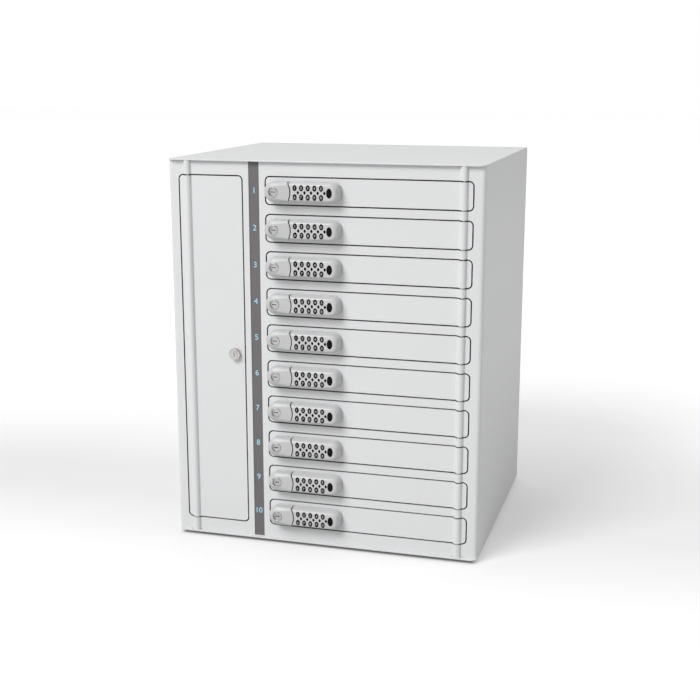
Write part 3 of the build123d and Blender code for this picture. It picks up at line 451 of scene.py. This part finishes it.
def plate_outline(inset):
    """The plate under the whole lock: round on the left, and with round corners on the right."""
    nose, half, right, corner = NOSE_R - inset, LOCK_HALF - inset, LOCK_RIGHT - inset, END_R - inset
    return (arc((0, 0), nose, 94, 266, 20) + straight((0, -half), (right - corner, -half), 8)
            + arc((right - corner, corner - half), corner, -90, 0, 8)
            + arc((right - corner, half - corner), corner, 0, 90, 8)
            + straight((right - corner, half), (0, half), 8))


def housing(n):
    """Plate, keypad block and barrel of one lock."""
    levels = ((0.0, 0.0), (0.0, PLATE_T * 0.85), (PLATE_EDGE, PLATE_T))
    plate = loft("plate", [at_lock(n, plate_outline(inset), height) for inset, height in levels],
                 housing_plastic)
    half, right = LOCK_HALF - BLOCK_INSET, LOCK_RIGHT - BLOCK_INSET
    rings = [at_lock(n, keypad_level(half, right, END_R), PLATE_T / 2)]
    for level in range(LEVELS + 1):
        rise, draw = rolled(level)
        ring = keypad_level(half - SIDE_LEAN * draw, right - END_ROLL * draw,
                            END_R + (FACE_END_R - END_R) * draw)
        rings.append(at_lock(n, ring, PLATE_T + (FACE - PLATE_T) * rise))
    block = loft("block", rings, housing_plastic, 50.0)
    barrel = loft("barrel", [at_lock(n, circle(BARREL_R), height) for height in BARREL_ENDS],
                  housing_plastic)
    return join(f"keypad_housing_{n}", [plate, block, barrel])


for n in DOOR_NAMES:
    piece = housing(n)
    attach(piece, f"door_{n}")
    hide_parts(f"lock_body_{n}")
print("a housing has", len(piece.data.polygons), "faces")

# %% [markdown]
# ## Fixing screws
# Two plated screws hold each housing from inside the door. They show only when the door is open.
# A screw head is a loft of circles with a hexagon recess, because a plain disc looks unfinished.

# %% Build the fixing screws
FIX_PLACES = (0.056, 0.104)   # from the spindle
SCREW_STEPS = 24
# Outline, radius and height above the door's face, from the shank's end to the socket's floor
SCREW_SECTIONS = [("circle", 0.002, 0.006), ("circle", 0.002, -0.0015), ("circle", 0.0036, -0.0015),
                  ("circle", 0.0036, -0.0024), ("circle", 0.0031, -0.0033), ("circle", 0.0022, -0.0037),
                  ("hexagon", 0.0017, -0.0037), ("hexagon", 0.0017, -0.0022)]


def hexagon(radius, steps=36, centre=(0.0, 0.0)):
    """A hexagon with as many points as a circle, so that the two can be joined by a loft."""
    points = []
    for u, v in circle(1.0, steps):
        angle = math.atan2(v, u) % (math.pi / 3) - math.pi / 6
        reach = radius * math.cos(math.pi / 6) / math.cos(angle)
        points.append((centre[0] + u * reach, centre[1] + v * reach))
    return points


def fixing_screw(n, u):
    """A domed head with a hexagon socket, behind the door's sheet."""
    outlines = {"circle": circle, "hexagon": hexagon}
    return loft("screw", [at_lock(n, outlines[form](radius, SCREW_STEPS, (u, 0.0)), height)
                          for form, radius, height in SCREW_SECTIONS], zinc_plate)


for n in DOOR_NAMES:
    piece = join(f"housing_screws_{n}", [fixing_screw(n, u) for u in FIX_PLACES])
    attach(piece, f"door_{n}")
    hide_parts(f"lock_body_{n}")
print("two screws behind each of", len(DOOR_NAMES), "housings")

# %% [markdown]
# ## Knobs
# The knob is a painted casting that points at the spindle. Its face narrows towards a low round
# boss, a bare metal ring round the plug of the override lock. All rings of the knob share the same
# directions from the spindle, so its tapered outline can end in a round hole without a seam.

# %% Build the knobs
KNOB_LOW = 0.0033     # just clear of the plate
KNOB_FACE = 0.0225
SEAM_GAP = 0.0016     # between the knob and the keypad block
BOSS_R = 0.0092
CUP_R = 0.0071        # the cup in the boss, round the plug
# Radius and height above the door of the spindle's sections; the last two carry the cam
SPINDLE_SECTIONS = [(0.005, 0.004), (0.005, -0.0125), (0.0035, -0.0125), (0.0035, -0.0145)]
# Radius of the round end, half the height at the seam, and height above the door, level by level
KNOB_LEVELS = [(0.0174, 0.01745, KNOB_LOW), (0.0174, 0.01745, 0.0152), (0.0173, 0.0174, 0.0167),
               (0.0170, 0.0172, 0.0179), (0.0164, 0.0168, 0.0187), (0.0121, 0.0151, 0.0214),
               (0.0112, 0.0145, 0.0219), (0.0104, 0.0135, 0.0222), (0.0098, 0.0115, 0.0224),
               (0.0095, 0.0085, KNOB_FACE)]


def knob_level(nose, half):
    """The outline of the knob at one level, anticlockwise from the seam's lower end."""
    reach = SEAM_R - SEAM_GAP
    spread = math.degrees(math.asin(half / reach))
    corner = (reach * math.cos(math.radians(spread)), half)
    lean = math.degrees(math.atan2(corner[1], corner[0]) + math.acos(nose / math.hypot(*corner)))
    nose_arc = arc((0, 0), nose, lean, 360 - lean, 24)
    seam = arc((0, 0), reach, -spread, spread, 14)
    return (seam + straight(seam[-1], nose_arc[0], 12) + nose_arc
            + straight(nose_arc[-1], seam[0], 12))


def toward(outline, radius):
    """A circle with a point in the same direction as every point of an outline."""
    return [(u * radius / math.hypot(u, v), v * radius / math.hypot(u, v)) for u, v in outline]


def knob(n):
    """The casting: a tapered body with a round hole for the boss, and the spindle behind."""
    rings = [at_lock(n, knob_level(nose, half), height) for nose, half, height in KNOB_LEVELS]
    outline = knob_level(*KNOB_LEVELS[-1][:2])
    for radius, height in ((BOSS_R + 0.0002, 0.0), (BOSS_R, -0.0003), (BOSS_R, -0.006)):
        rings.append(at_lock(n, toward(outline, radius), KNOB_FACE + height))
    body = loft("knob", rings, knob_paint, 40.0)
    spindle = loft("spindle", [at_lock(n, circle(radius), height) for radius, height
                               in SPINDLE_SECTIONS], knob_paint)
    return join(f"knob_{n}_casting", [body, spindle])


for n in DOOR_NAMES:
    piece = knob(n)
    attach(piece, f"knob_{n}")
    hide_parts(f"lock_knob_{n}")
print("a knob has", len(piece.data.polygons), "faces")

# %% [markdown]
# ## Bosses of the knobs
# The boss is a ring of bare metal let into the knob, with a rounded crest and a shallow cup inside.
# It is a piece of its own, because it isn't painted as the knob is.

# %% Build the bosses
BOSS_CREST = 0.001   # above the knob's face
# Radius and height above the knob's face, from the foot outside to the cup's floor
BOSS_SECTIONS = [(BOSS_R - 0.0001, -0.006), (BOSS_R - 0.0001, 0.0005), (BOSS_R - 0.0003, 0.0008),
                 (BOSS_R - 0.0007, BOSS_CREST), (CUP_R + 0.0003, BOSS_CREST), (CUP_R, 0.0007),
                 (CUP_R, -0.0058)]
for n in DOOR_NAMES:
    piece = loft(f"knob_boss_{n}", [at_lock(n, circle(radius, 48), KNOB_FACE + height)
                                    for radius, height in BOSS_SECTIONS], plug_metal)
    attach(piece, f"knob_{n}")
    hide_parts(f"lock_knob_{n}")
print("bosses stand", BOSS_CREST, "m above the knobs")

# %% [markdown]
# ## Plugs of the override locks
# The plug is a bare metal disc in the boss, with a keyway. The keyway could be a dark decal, but a
# real slot catches its own shadow from every side.

# %% Build the plugs
PLUG_R = 0.007
PLUG_FACE = KNOB_FACE - 0.0016


def slot_outline(length, width, steps=36):
    """A slot with square ends, with as many points as a circle."""
    points = []
    for u, v in circle(1.0, steps):
        reach = min(length / 2 / max(abs(u), 1e-6), width / 2 / max(abs(v), 1e-6))
        points.append((u * reach, v * reach))
    return points


# Outline and height above the plug's face, from its foot to the floor of the keyway
PLUG_SECTIONS = [(circle(PLUG_R), -0.0054), (circle(PLUG_R), -0.0003), (circle(PLUG_R - 0.0003), 0.0),
                 (circle(0.0056), 0.0), (circle(0.0054), -0.0002),
                 (slot_outline(0.0086, 0.0019), -0.0002), (slot_outline(0.0082, 0.0016), -0.004)]
for n in DOOR_NAMES:
    piece = loft(f"override_plug_{n}", [at_lock(n, outline, PLUG_FACE + height)
                                        for outline, height in PLUG_SECTIONS], plug_metal, 30.0)
    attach(piece, f"knob_{n}")
    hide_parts(f"lock_knob_{n}")
print("plugs of radius", PLUG_R, "m are in their bosses")

# %% [markdown]
# ## Cams and their nuts
# Behind the door the spindle carries a flat pressed cam, held by a nut. The cam swings behind the
# divider to lock the door. At rest it hangs down.

# %% Build the cams
CAM_FRONT = -0.0125   # height above the door's face, so behind it
CAM_T = 0.002
CAM_REACH = 0.025
CAM_HALF = 0.0065     # half the width
CAM_EDGE = 0.0003     # softened edges


def cam_outline(inset):
    """A strip that hangs from a round end about the spindle, with a curved tip."""
    half, reach = CAM_HALF - inset, CAM_REACH - inset
    tip = math.degrees(math.asin(half / reach))
    return arc((0, 0), half, 0, 180, 18) + arc((0, 0), reach, 270 - tip, 270 + tip, 8)


# Outline and height above the cam's front, from the front to the back
CAM_SECTIONS = [(cam_outline(CAM_EDGE), 0.0), (cam_outline(0.0), -CAM_EDGE),
                (cam_outline(0.0), CAM_EDGE - CAM_T), (cam_outline(CAM_EDGE), -CAM_T)]
NUT_SECTIONS = [(hexagon(0.0055), -CAM_T), (hexagon(0.0055), -CAM_T - 0.0025),
                (circle(0.0045), -CAM_T - 0.003), (circle(0.0026), -CAM_T - 0.003),
                (circle(0.0024), -CAM_T - 0.0026)]
for n in DOOR_NAMES:
    cam = loft("cam", [at_lock(n, outline, CAM_FRONT + height) for outline, height in CAM_SECTIONS],
               zinc_plate)
    nut = loft("nut", [at_lock(n, outline, CAM_FRONT + height) for outline, height in NUT_SECTIONS],
               zinc_plate, 25.0)
    piece = join(f"cam_{n}", [cam, nut])
    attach(piece, f"knob_{n}")
    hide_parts(f"lock_knob_{n}")
print("cams reach", CAM_REACH, "m from their spindles")

# %% [markdown]
# ## Keys
# Every keypad has two rows of five oval silicone keys and one larger oval key. They repeat at one
# pitch, so a single domed key is lofted and Geometry Nodes sets it out in rows and columns. Copying
# the object ten times would do as well, but the tree keeps the pitch in one place.


# %% Tree that sets a piece out in rows and columns
def grid_tree(name):
    """Instances of one object, in columns along X and rows along Z, made real and given a finish."""
    tree = bpy.data.node_groups.new(name, "GeometryNodeTree")
    face = tree.interface
    face.new_socket("Geometry", in_out="OUTPUT", socket_type="NodeSocketGeometry")
    for label, kind in (("Piece", "NodeSocketObject"), ("Columns", "NodeSocketInt"),
                        ("Rows", "NodeSocketInt"), ("Pitch", "NodeSocketFloat"),
                        ("Rise", "NodeSocketFloat"), ("Start", "NodeSocketVector"),
                        ("Finish", "NodeSocketMaterial")):
        face.new_socket(label, in_out="INPUT", socket_type=kind)
    group_in = tree.nodes.new("NodeGroupInput")
    group_out = tree.nodes.new("NodeGroupOutput")
    columns = tree.nodes.new("GeometryNodeMeshLine")
    rows = tree.nodes.new("GeometryNodeMeshLine")
    across = tree.nodes.new("ShaderNodeCombineXYZ")
    upwards = tree.nodes.new("ShaderNodeCombineXYZ")
    ranks = tree.nodes.new("GeometryNodeInstanceOnPoints")
    places = tree.nodes.new("GeometryNodeRealizeInstances")
    info = tree.nodes.new("GeometryNodeObjectInfo")
    instance = tree.nodes.new("GeometryNodeInstanceOnPoints")
    real = tree.nodes.new("GeometryNodeRealizeInstances")
    paint = tree.nodes.new("GeometryNodeSetMaterial")
    link = tree.links.new
    link(group_in.outputs["Pitch"], across.inputs["X"])
    link(across.outputs["Vector"], columns.inputs["Offset"])
    link(group_in.outputs["Columns"], columns.inputs["Count"])
    link(group_in.outputs["Start"], columns.inputs["Start Location"])
    link(group_in.outputs["Rise"], upwards.inputs["Z"])
    link(upwards.outputs["Vector"], rows.inputs["Offset"])
    link(group_in.outputs["Rows"], rows.inputs["Count"])
    link(rows.outputs["Mesh"], ranks.inputs["Points"])
    link(columns.outputs["Mesh"], ranks.inputs["Instance"])
    link(ranks.outputs["Instances"], places.inputs["Geometry"])
    link(places.outputs["Geometry"], instance.inputs["Points"])
    link(group_in.outputs["Piece"], info.inputs["Object"])
    link(info.outputs["Geometry"], instance.inputs["Instance"])
    link(instance.outputs["Instances"], real.inputs["Geometry"])
    link(real.outputs["Geometry"], paint.inputs["Geometry"])
    link(group_in.outputs["Finish"], paint.inputs["Material"])
    link(paint.outputs["Geometry"], group_out.inputs["Geometry"])
    return tree


def grow(name, tree, **inputs):
    """Runs a tree with these inputs and returns the result as a plain mesh object."""
    seedling = bpy.data.objects.new(name + "_grower", bpy.data.meshes.new(name + "_grower"))
    bpy.context.scene.collection.objects.link(seedling)
    modifier = seedling.modifiers.new("grow", "NODES")
    modifier.node_group = tree
    sockets = {item.name.lower(): item.identifier for item in tree.interface.items_tree
               if item.in_out == "INPUT"}
    for label, value in inputs.items():
        modifier[sockets[label]] = value
    bpy.context.view_layer.update()
    depsgraph = bpy.context.evaluated_depsgraph_get()
    mesh = bpy.data.meshes.new_from_object(seedling.evaluated_get(depsgraph))
    seedling.modifiers.remove(modifier)
    bpy.data.objects.remove(seedling)
    mesh.name = name
    piece = bpy.data.objects.new(name, mesh)
    bpy.context.scene.collection.objects.link(piece)
    return piece


set_out = grid_tree("set_out_in_rows")
print("the tree takes", [item.name for item in set_out.interface.items_tree if item.in_out == "INPUT"])

# %% [markdown]
# ## Keys on their keypads
# The keys stand a little out of the keypad's face and roll over at the rim. Ten come from the tree,
# and the large one is lofted on its own. All eleven are one piece, because they move together.

# %% Build the keys
KEY_FIRST = 0.040      # from the spindle to the first column
KEY_PITCH = 0.0119
KEY_COLUMNS = 5
KEY_ROW = 0.00785      # from the middle line to each row
KEY_SIZE = (0.0074, 0.0106)
CLEAR_KEY_SIZE = (0.0102, 0.0170)
CLEAR_KEY_U = 0.1017   # from the spindle
KEY_PROUD = 0.0006
KEY_FOOT = -0.002


def domed_key(name, size, centre):
    """An oval key: its foot is inside the housing, and its top is flat with a rolled edge."""
    sections = [(1.0, KEY_FOOT), (1.0, KEY_PROUD * 0.4), (0.97, KEY_PROUD * 0.75),
                (0.90, KEY_PROUD * 0.95), (0.80, KEY_PROUD)]
    rings = [[centre + Vector((u * share, -height, v * share))
              for u, v in ((x * size[0] / 2, y * size[1] / 2) for x, y in circle(1.0, 24))]
             for share, height in sections]
    return loft(name, rings, key_silicone, 60.0)


pattern = domed_key("key_pattern", KEY_SIZE, Vector((0, 0, 0)))
for n in DOOR_NAMES:
    corner = Vector((spindle_x + KEY_FIRST, door_face - FACE, door_height[n] - KEY_ROW))
    digit_keys = grow("digit_keys", set_out, piece=pattern, columns=KEY_COLUMNS, rows=2,
                      pitch=KEY_PITCH, rise=2 * KEY_ROW, start=corner, finish=key_silicone)
    clear_key = domed_key("clear_key", CLEAR_KEY_SIZE,
                          Vector((spindle_x + CLEAR_KEY_U, door_face - FACE, door_height[n])))
    piece = join(f"key_pads_{n}", [digit_keys, clear_key])
    smooth(piece.data, 60.0)
    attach(piece, f"keys_{n}")
    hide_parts(f"lock_keys_{n}")
bpy.data.objects.remove(pattern)
print("eleven keys on each of", len(DOOR_NAMES), "keypads")

# %% [markdown]
# ## Lozenges between the keys
# Five small dark lozenges sit on the middle line of every keypad, at the keys' pitch. They are
# hardly raised. The same tree sets them out, with a single row.

# %% Set the lozenges
LOZENGE_W = 0.0046
LOZENGE_H = 0.0064
LOZENGE_T = 0.0004
LOZENGE_POWER = 1.4   # 1 gives an oval, 2 a diamond with straight sides


def lozenge():
    """A small block with a rounded diamond outline and a bevelled rim, facing the front."""
    corners = [(math.copysign(abs(x) ** LOZENGE_POWER, x) * LOZENGE_W / 2,
                math.copysign(abs(z) ** LOZENGE_POWER, z) * LOZENGE_H / 2) for x, z in circle(1.0, 16)]
    sections = ((1.0, -LOZENGE_T), (1.0, LOZENGE_T / 8), (0.85, LOZENGE_T / 4))
    return loft("lozenge_pattern", [[Vector((x * share, -height, z * share)) for x, z in corners]
                                    for share, height in sections], key_silicone)


pattern = lozenge()
for n in DOOR_NAMES:
    start = Vector((spindle_x + KEY_FIRST + KEY_PITCH / 2, door_face - FACE, door_height[n]))
    piece = grow(f"keypad_lozenges_{n}", set_out, piece=pattern, columns=KEY_COLUMNS, rows=1,
                 pitch=KEY_PITCH, rise=0.0, start=start, finish=key_silicone)
    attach(piece, f"door_{n}")
bpy.data.objects.remove(pattern)
print("lozenges set on", len(DOOR_NAMES), "keypads")

# %% [markdown]
# ## Printed numerals and digits
# The strip carries the numerals 1 to 10, one at each door's middle, and each small key has its
# digit. They are ink, so they are flat. Text could be drawn in an image, but text made into a mesh
# stays sharp at any size.


# %% Text helper
CAPITAL_SHARE = 0.7   # height of a numeral over the size of its type


def printed_text(name, words, height, place, finish, bold=0.0, thickness=0.00006):
    """A flat printed word facing the front, centred on its place; bold thickens its strokes."""
    curve = bpy.data.curves.new(name + "_text", "FONT")
    curve.body = words
    curve.size = height / CAPITAL_SHARE
    curve.offset = bold
    curve.extrude = thickness / 2
    curve.resolution_u = 4
    writing = bpy.data.objects.new(name + "_text", curve)
    bpy.context.scene.collection.objects.link(writing)
    bpy.context.view_layer.update()
    depsgraph = bpy.context.evaluated_depsgraph_get()
    mesh = bpy.data.meshes.new_from_object(writing.evaluated_get(depsgraph))
    bpy.data.objects.remove(writing)
    low = Vector([min(v.co[i] for v in mesh.vertices) for i in range(3)])
    high = Vector([max(v.co[i] for v in mesh.vertices) for i in range(3)])
    mesh.transform(Matrix.Translation(-(low + high) / 2))
    mesh.transform(Matrix.Scale(height / (high.y - low.y), 4))
    mesh.transform(Matrix.Translation(place) @ Matrix.Rotation(math.pi / 2, 4, "X"))
    mesh.materials.clear()
    mesh.materials.append(finish)
    mesh.name = name
    piece = bpy.data.objects.new(name, mesh)
    bpy.context.scene.collection.objects.link(piece)
    return piece


print("text helper is ready")

# %% Print the door numerals
NUMERAL_H = 0.0105
NUMERAL_BOLD = 0.00012
NUMERAL_LIFT = 0.00005   # from the strip to the middle of the ink
strip_mid = (strip_low.x + strip_high.x) / 2
for n in DOOR_NAMES:
    place = Vector((strip_mid, strip_low.y - NUMERAL_LIFT, door_height[n]))
    numeral = printed_text(f"door_numeral_{n}", str(int(n)), NUMERAL_H, place, numeral_ink,
                           NUMERAL_BOLD)
    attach(numeral, "cabinet")
print("numerals 1 to 10 are on the strip")

# %% [markdown]
# ## Digits on the keys
# The digits run from 1 to 5 in the upper row and from 6 to 0 in the lower one, as on most keypads of
# this kind. They ride on the keys, so that they go in with them.

# %% Print the key digits
DIGIT_H = 0.0046
DIGIT_BOLD = 0.0002
DIGIT_T = 0.00008
DIGIT_LIFT = 0.00003     # from the key to the middle of the ink
for n in DOOR_NAMES:
    digits = []
    for i, digit in enumerate("1234567890"):
        u = KEY_FIRST + (i % KEY_COLUMNS) * KEY_PITCH
        v = KEY_ROW if i < KEY_COLUMNS else -KEY_ROW
        key_top = door_face - FACE - KEY_PROUD
        place = Vector((spindle_x + u, key_top - DIGIT_LIFT, door_height[n] + v))
        digits.append(printed_text(f"digit_{n}_{digit}", digit, DIGIT_H, place, digit_ink,
                                   DIGIT_BOLD, DIGIT_T))
    piece = join(f"key_digits_{n}", digits)
    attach(piece, f"keys_{n}")
print("every small key has its digit")

# %% [markdown]
# ## Floor
# The photograph is a studio shot on white. The floor is pale and keeps the soft shadow. Only camera,
# glossy and transmission rays see extra white on it, so that the ground fades into the background
# without more light on the locker. The white grows with the distance from the locker, in front of it
# and behind it, and nearly stops under it, where the photograph is dark.


# %% Floor
def combine(tree, operation, first, second):
    """The sum, product or larger of two sockets."""
    step = tree.nodes.new("ShaderNodeMath")
    step.operation = operation
    tree.links.new(first, step.inputs[0])
    tree.links.new(second, step.inputs[1])
    return step.outputs[0]


def white_where_seen(tree, surface, strength):
    """Adds white to a shader for camera, glossy and transmission rays; strength is a socket."""
    rays = tree.nodes.new("ShaderNodeLightPath").outputs
    seen = combine(tree, "MAXIMUM", rays["Is Camera Ray"], rays["Is Glossy Ray"])
    seen = combine(tree, "MAXIMUM", seen, rays["Is Transmission Ray"])
    glow = tree.nodes.new("ShaderNodeEmission")
    tree.links.new(combine(tree, "MULTIPLY", seen, strength), glow.inputs["Strength"])
    total = tree.nodes.new("ShaderNodeAddShader")
    tree.links.new(surface, total.inputs[0])
    tree.links.new(glow.outputs["Emission"], total.inputs[1])
    return total.outputs["Shader"]


FLOOR_GREY = 0.52
FLOOR_CORNERS = [(-14, -10, 0), (14, -10, 0), (14, 22, 0), (-14, 22, 0)]
UNDER = 0.2   # share of the extra white that is left under the locker
floor_finish, floor_tree, floor_shader, floor_place = new_finish("studio_floor", (FLOOR_GREY,) * 3, 0.9)
floor_shader.inputs["Specular IOR Level"].default_value = 0.0
reach = floor_tree.nodes.new("ShaderNodeVectorMath")
reach.operation = "LENGTH"
split = floor_tree.nodes.new("ShaderNodeSeparateXYZ")
floor_tree.links.new(floor_place, reach.inputs[0])
floor_tree.links.new(floor_place, split.inputs["Vector"])
across, along = split.outputs["X"], split.outputs["Y"]
glow = ramp(floor_tree, reach.outputs["Value"], 0.8, 3.4, 0.31, 0.66)
for start, end, low, high in ((-0.35, -0.05, 0.14, 0.0), (0.1, 0.6, 0.0, 0.17)):
    glow = combine(floor_tree, "ADD", glow, ramp(floor_tree, along, start, end, low, high))
# The locker's half width and half depth are about 0.28 and 0.24 m
clear = ramp(floor_tree, across, 0.275, 0.284, UNDER, 1.0)
for way, start, end, low, high in ((across, -0.284, -0.275, 1.0, UNDER),
                                   (along, -0.237, -0.227, 1.0, UNDER),
                                   (along, 0.236, 0.256, UNDER, 1.0)):
    clear = combine(floor_tree, "MAXIMUM", clear, ramp(floor_tree, way, start, end, low, high))
glow = combine(floor_tree, "MULTIPLY", glow, clear)
floor_out = floor_tree.nodes["Material Output"]
floor_tree.links.new(white_where_seen(floor_tree, floor_shader.outputs["BSDF"], glow),
                     floor_out.inputs["Surface"])
floor_mesh = bpy.data.meshes.new("studio_floor")
floor_mesh.from_pydata(FLOOR_CORNERS, [], [(0, 1, 2, 3)])
floor_mesh.materials.append(floor_finish)
floor = bpy.data.objects.new("studio_floor", floor_mesh)
bpy.context.scene.collection.objects.link(floor)
print("floor laid")

# %% [markdown]
# ## Background and lamps
# The background is white where the camera sees it, and a weak white light elsewhere. The large key
# lamp stands high in front on the left, as the shadows in the photograph show. A side lamp lifts the
# right side, a top lamp the panel on top, and a weak low one the foot of the front.

# %% World and lamps
AMBIENT = 0.30
world = bpy.data.worlds.new("studio")
world.use_nodes = True
bpy.context.scene.world = world
world_tree = world.node_tree
sky = world_tree.nodes["Background"]
sky.inputs["Color"].default_value = (1.0, 1.0, 1.0, 1.0)
rays = world_tree.nodes.new("ShaderNodeLightPath").outputs
seen = combine(world_tree, "MAXIMUM", rays["Is Camera Ray"], rays["Is Transmission Ray"])
world_tree.links.new(ramp(world_tree, seen, 0.0, 1.0, AMBIENT, 1.0), sky.inputs["Strength"])


def soft_box(name, place, aim, size, watts):
    """A square area lamp that looks at a point."""
    lamp_data = bpy.data.lights.new(name, "AREA")
    lamp_data.shape = "SQUARE"
    lamp_data.size = size
    lamp_data.energy = watts
    lamp = bpy.data.objects.new(name, lamp_data)
    lamp.location = place
    lamp.rotation_euler = (Vector(aim) - Vector(place)).to_track_quat("-Z", "Y").to_euler()
    bpy.context.scene.collection.objects.link(lamp)


# Name, place, aim, width in metres and power in watts
soft_box("key_lamp", (-2.6, -4.9, 5.6), (0.0, 0.0, 0.3), 3.6, 488.0)
soft_box("side_lamp", (4.2, 0.6, 3.2), (0.28, 0.0, 0.3), 2.4, 52.0)
soft_box("top_lamp", (-0.4, 1.8, 3.6), (0.0, 0.0, 0.5), 2.2, 25.0)
soft_box("low_fill", (0.0, -1.1, 0.1), (0.0, 0.0, 0.05), 0.6, 0.75)
print("lamps placed; ambient level", AMBIENT)
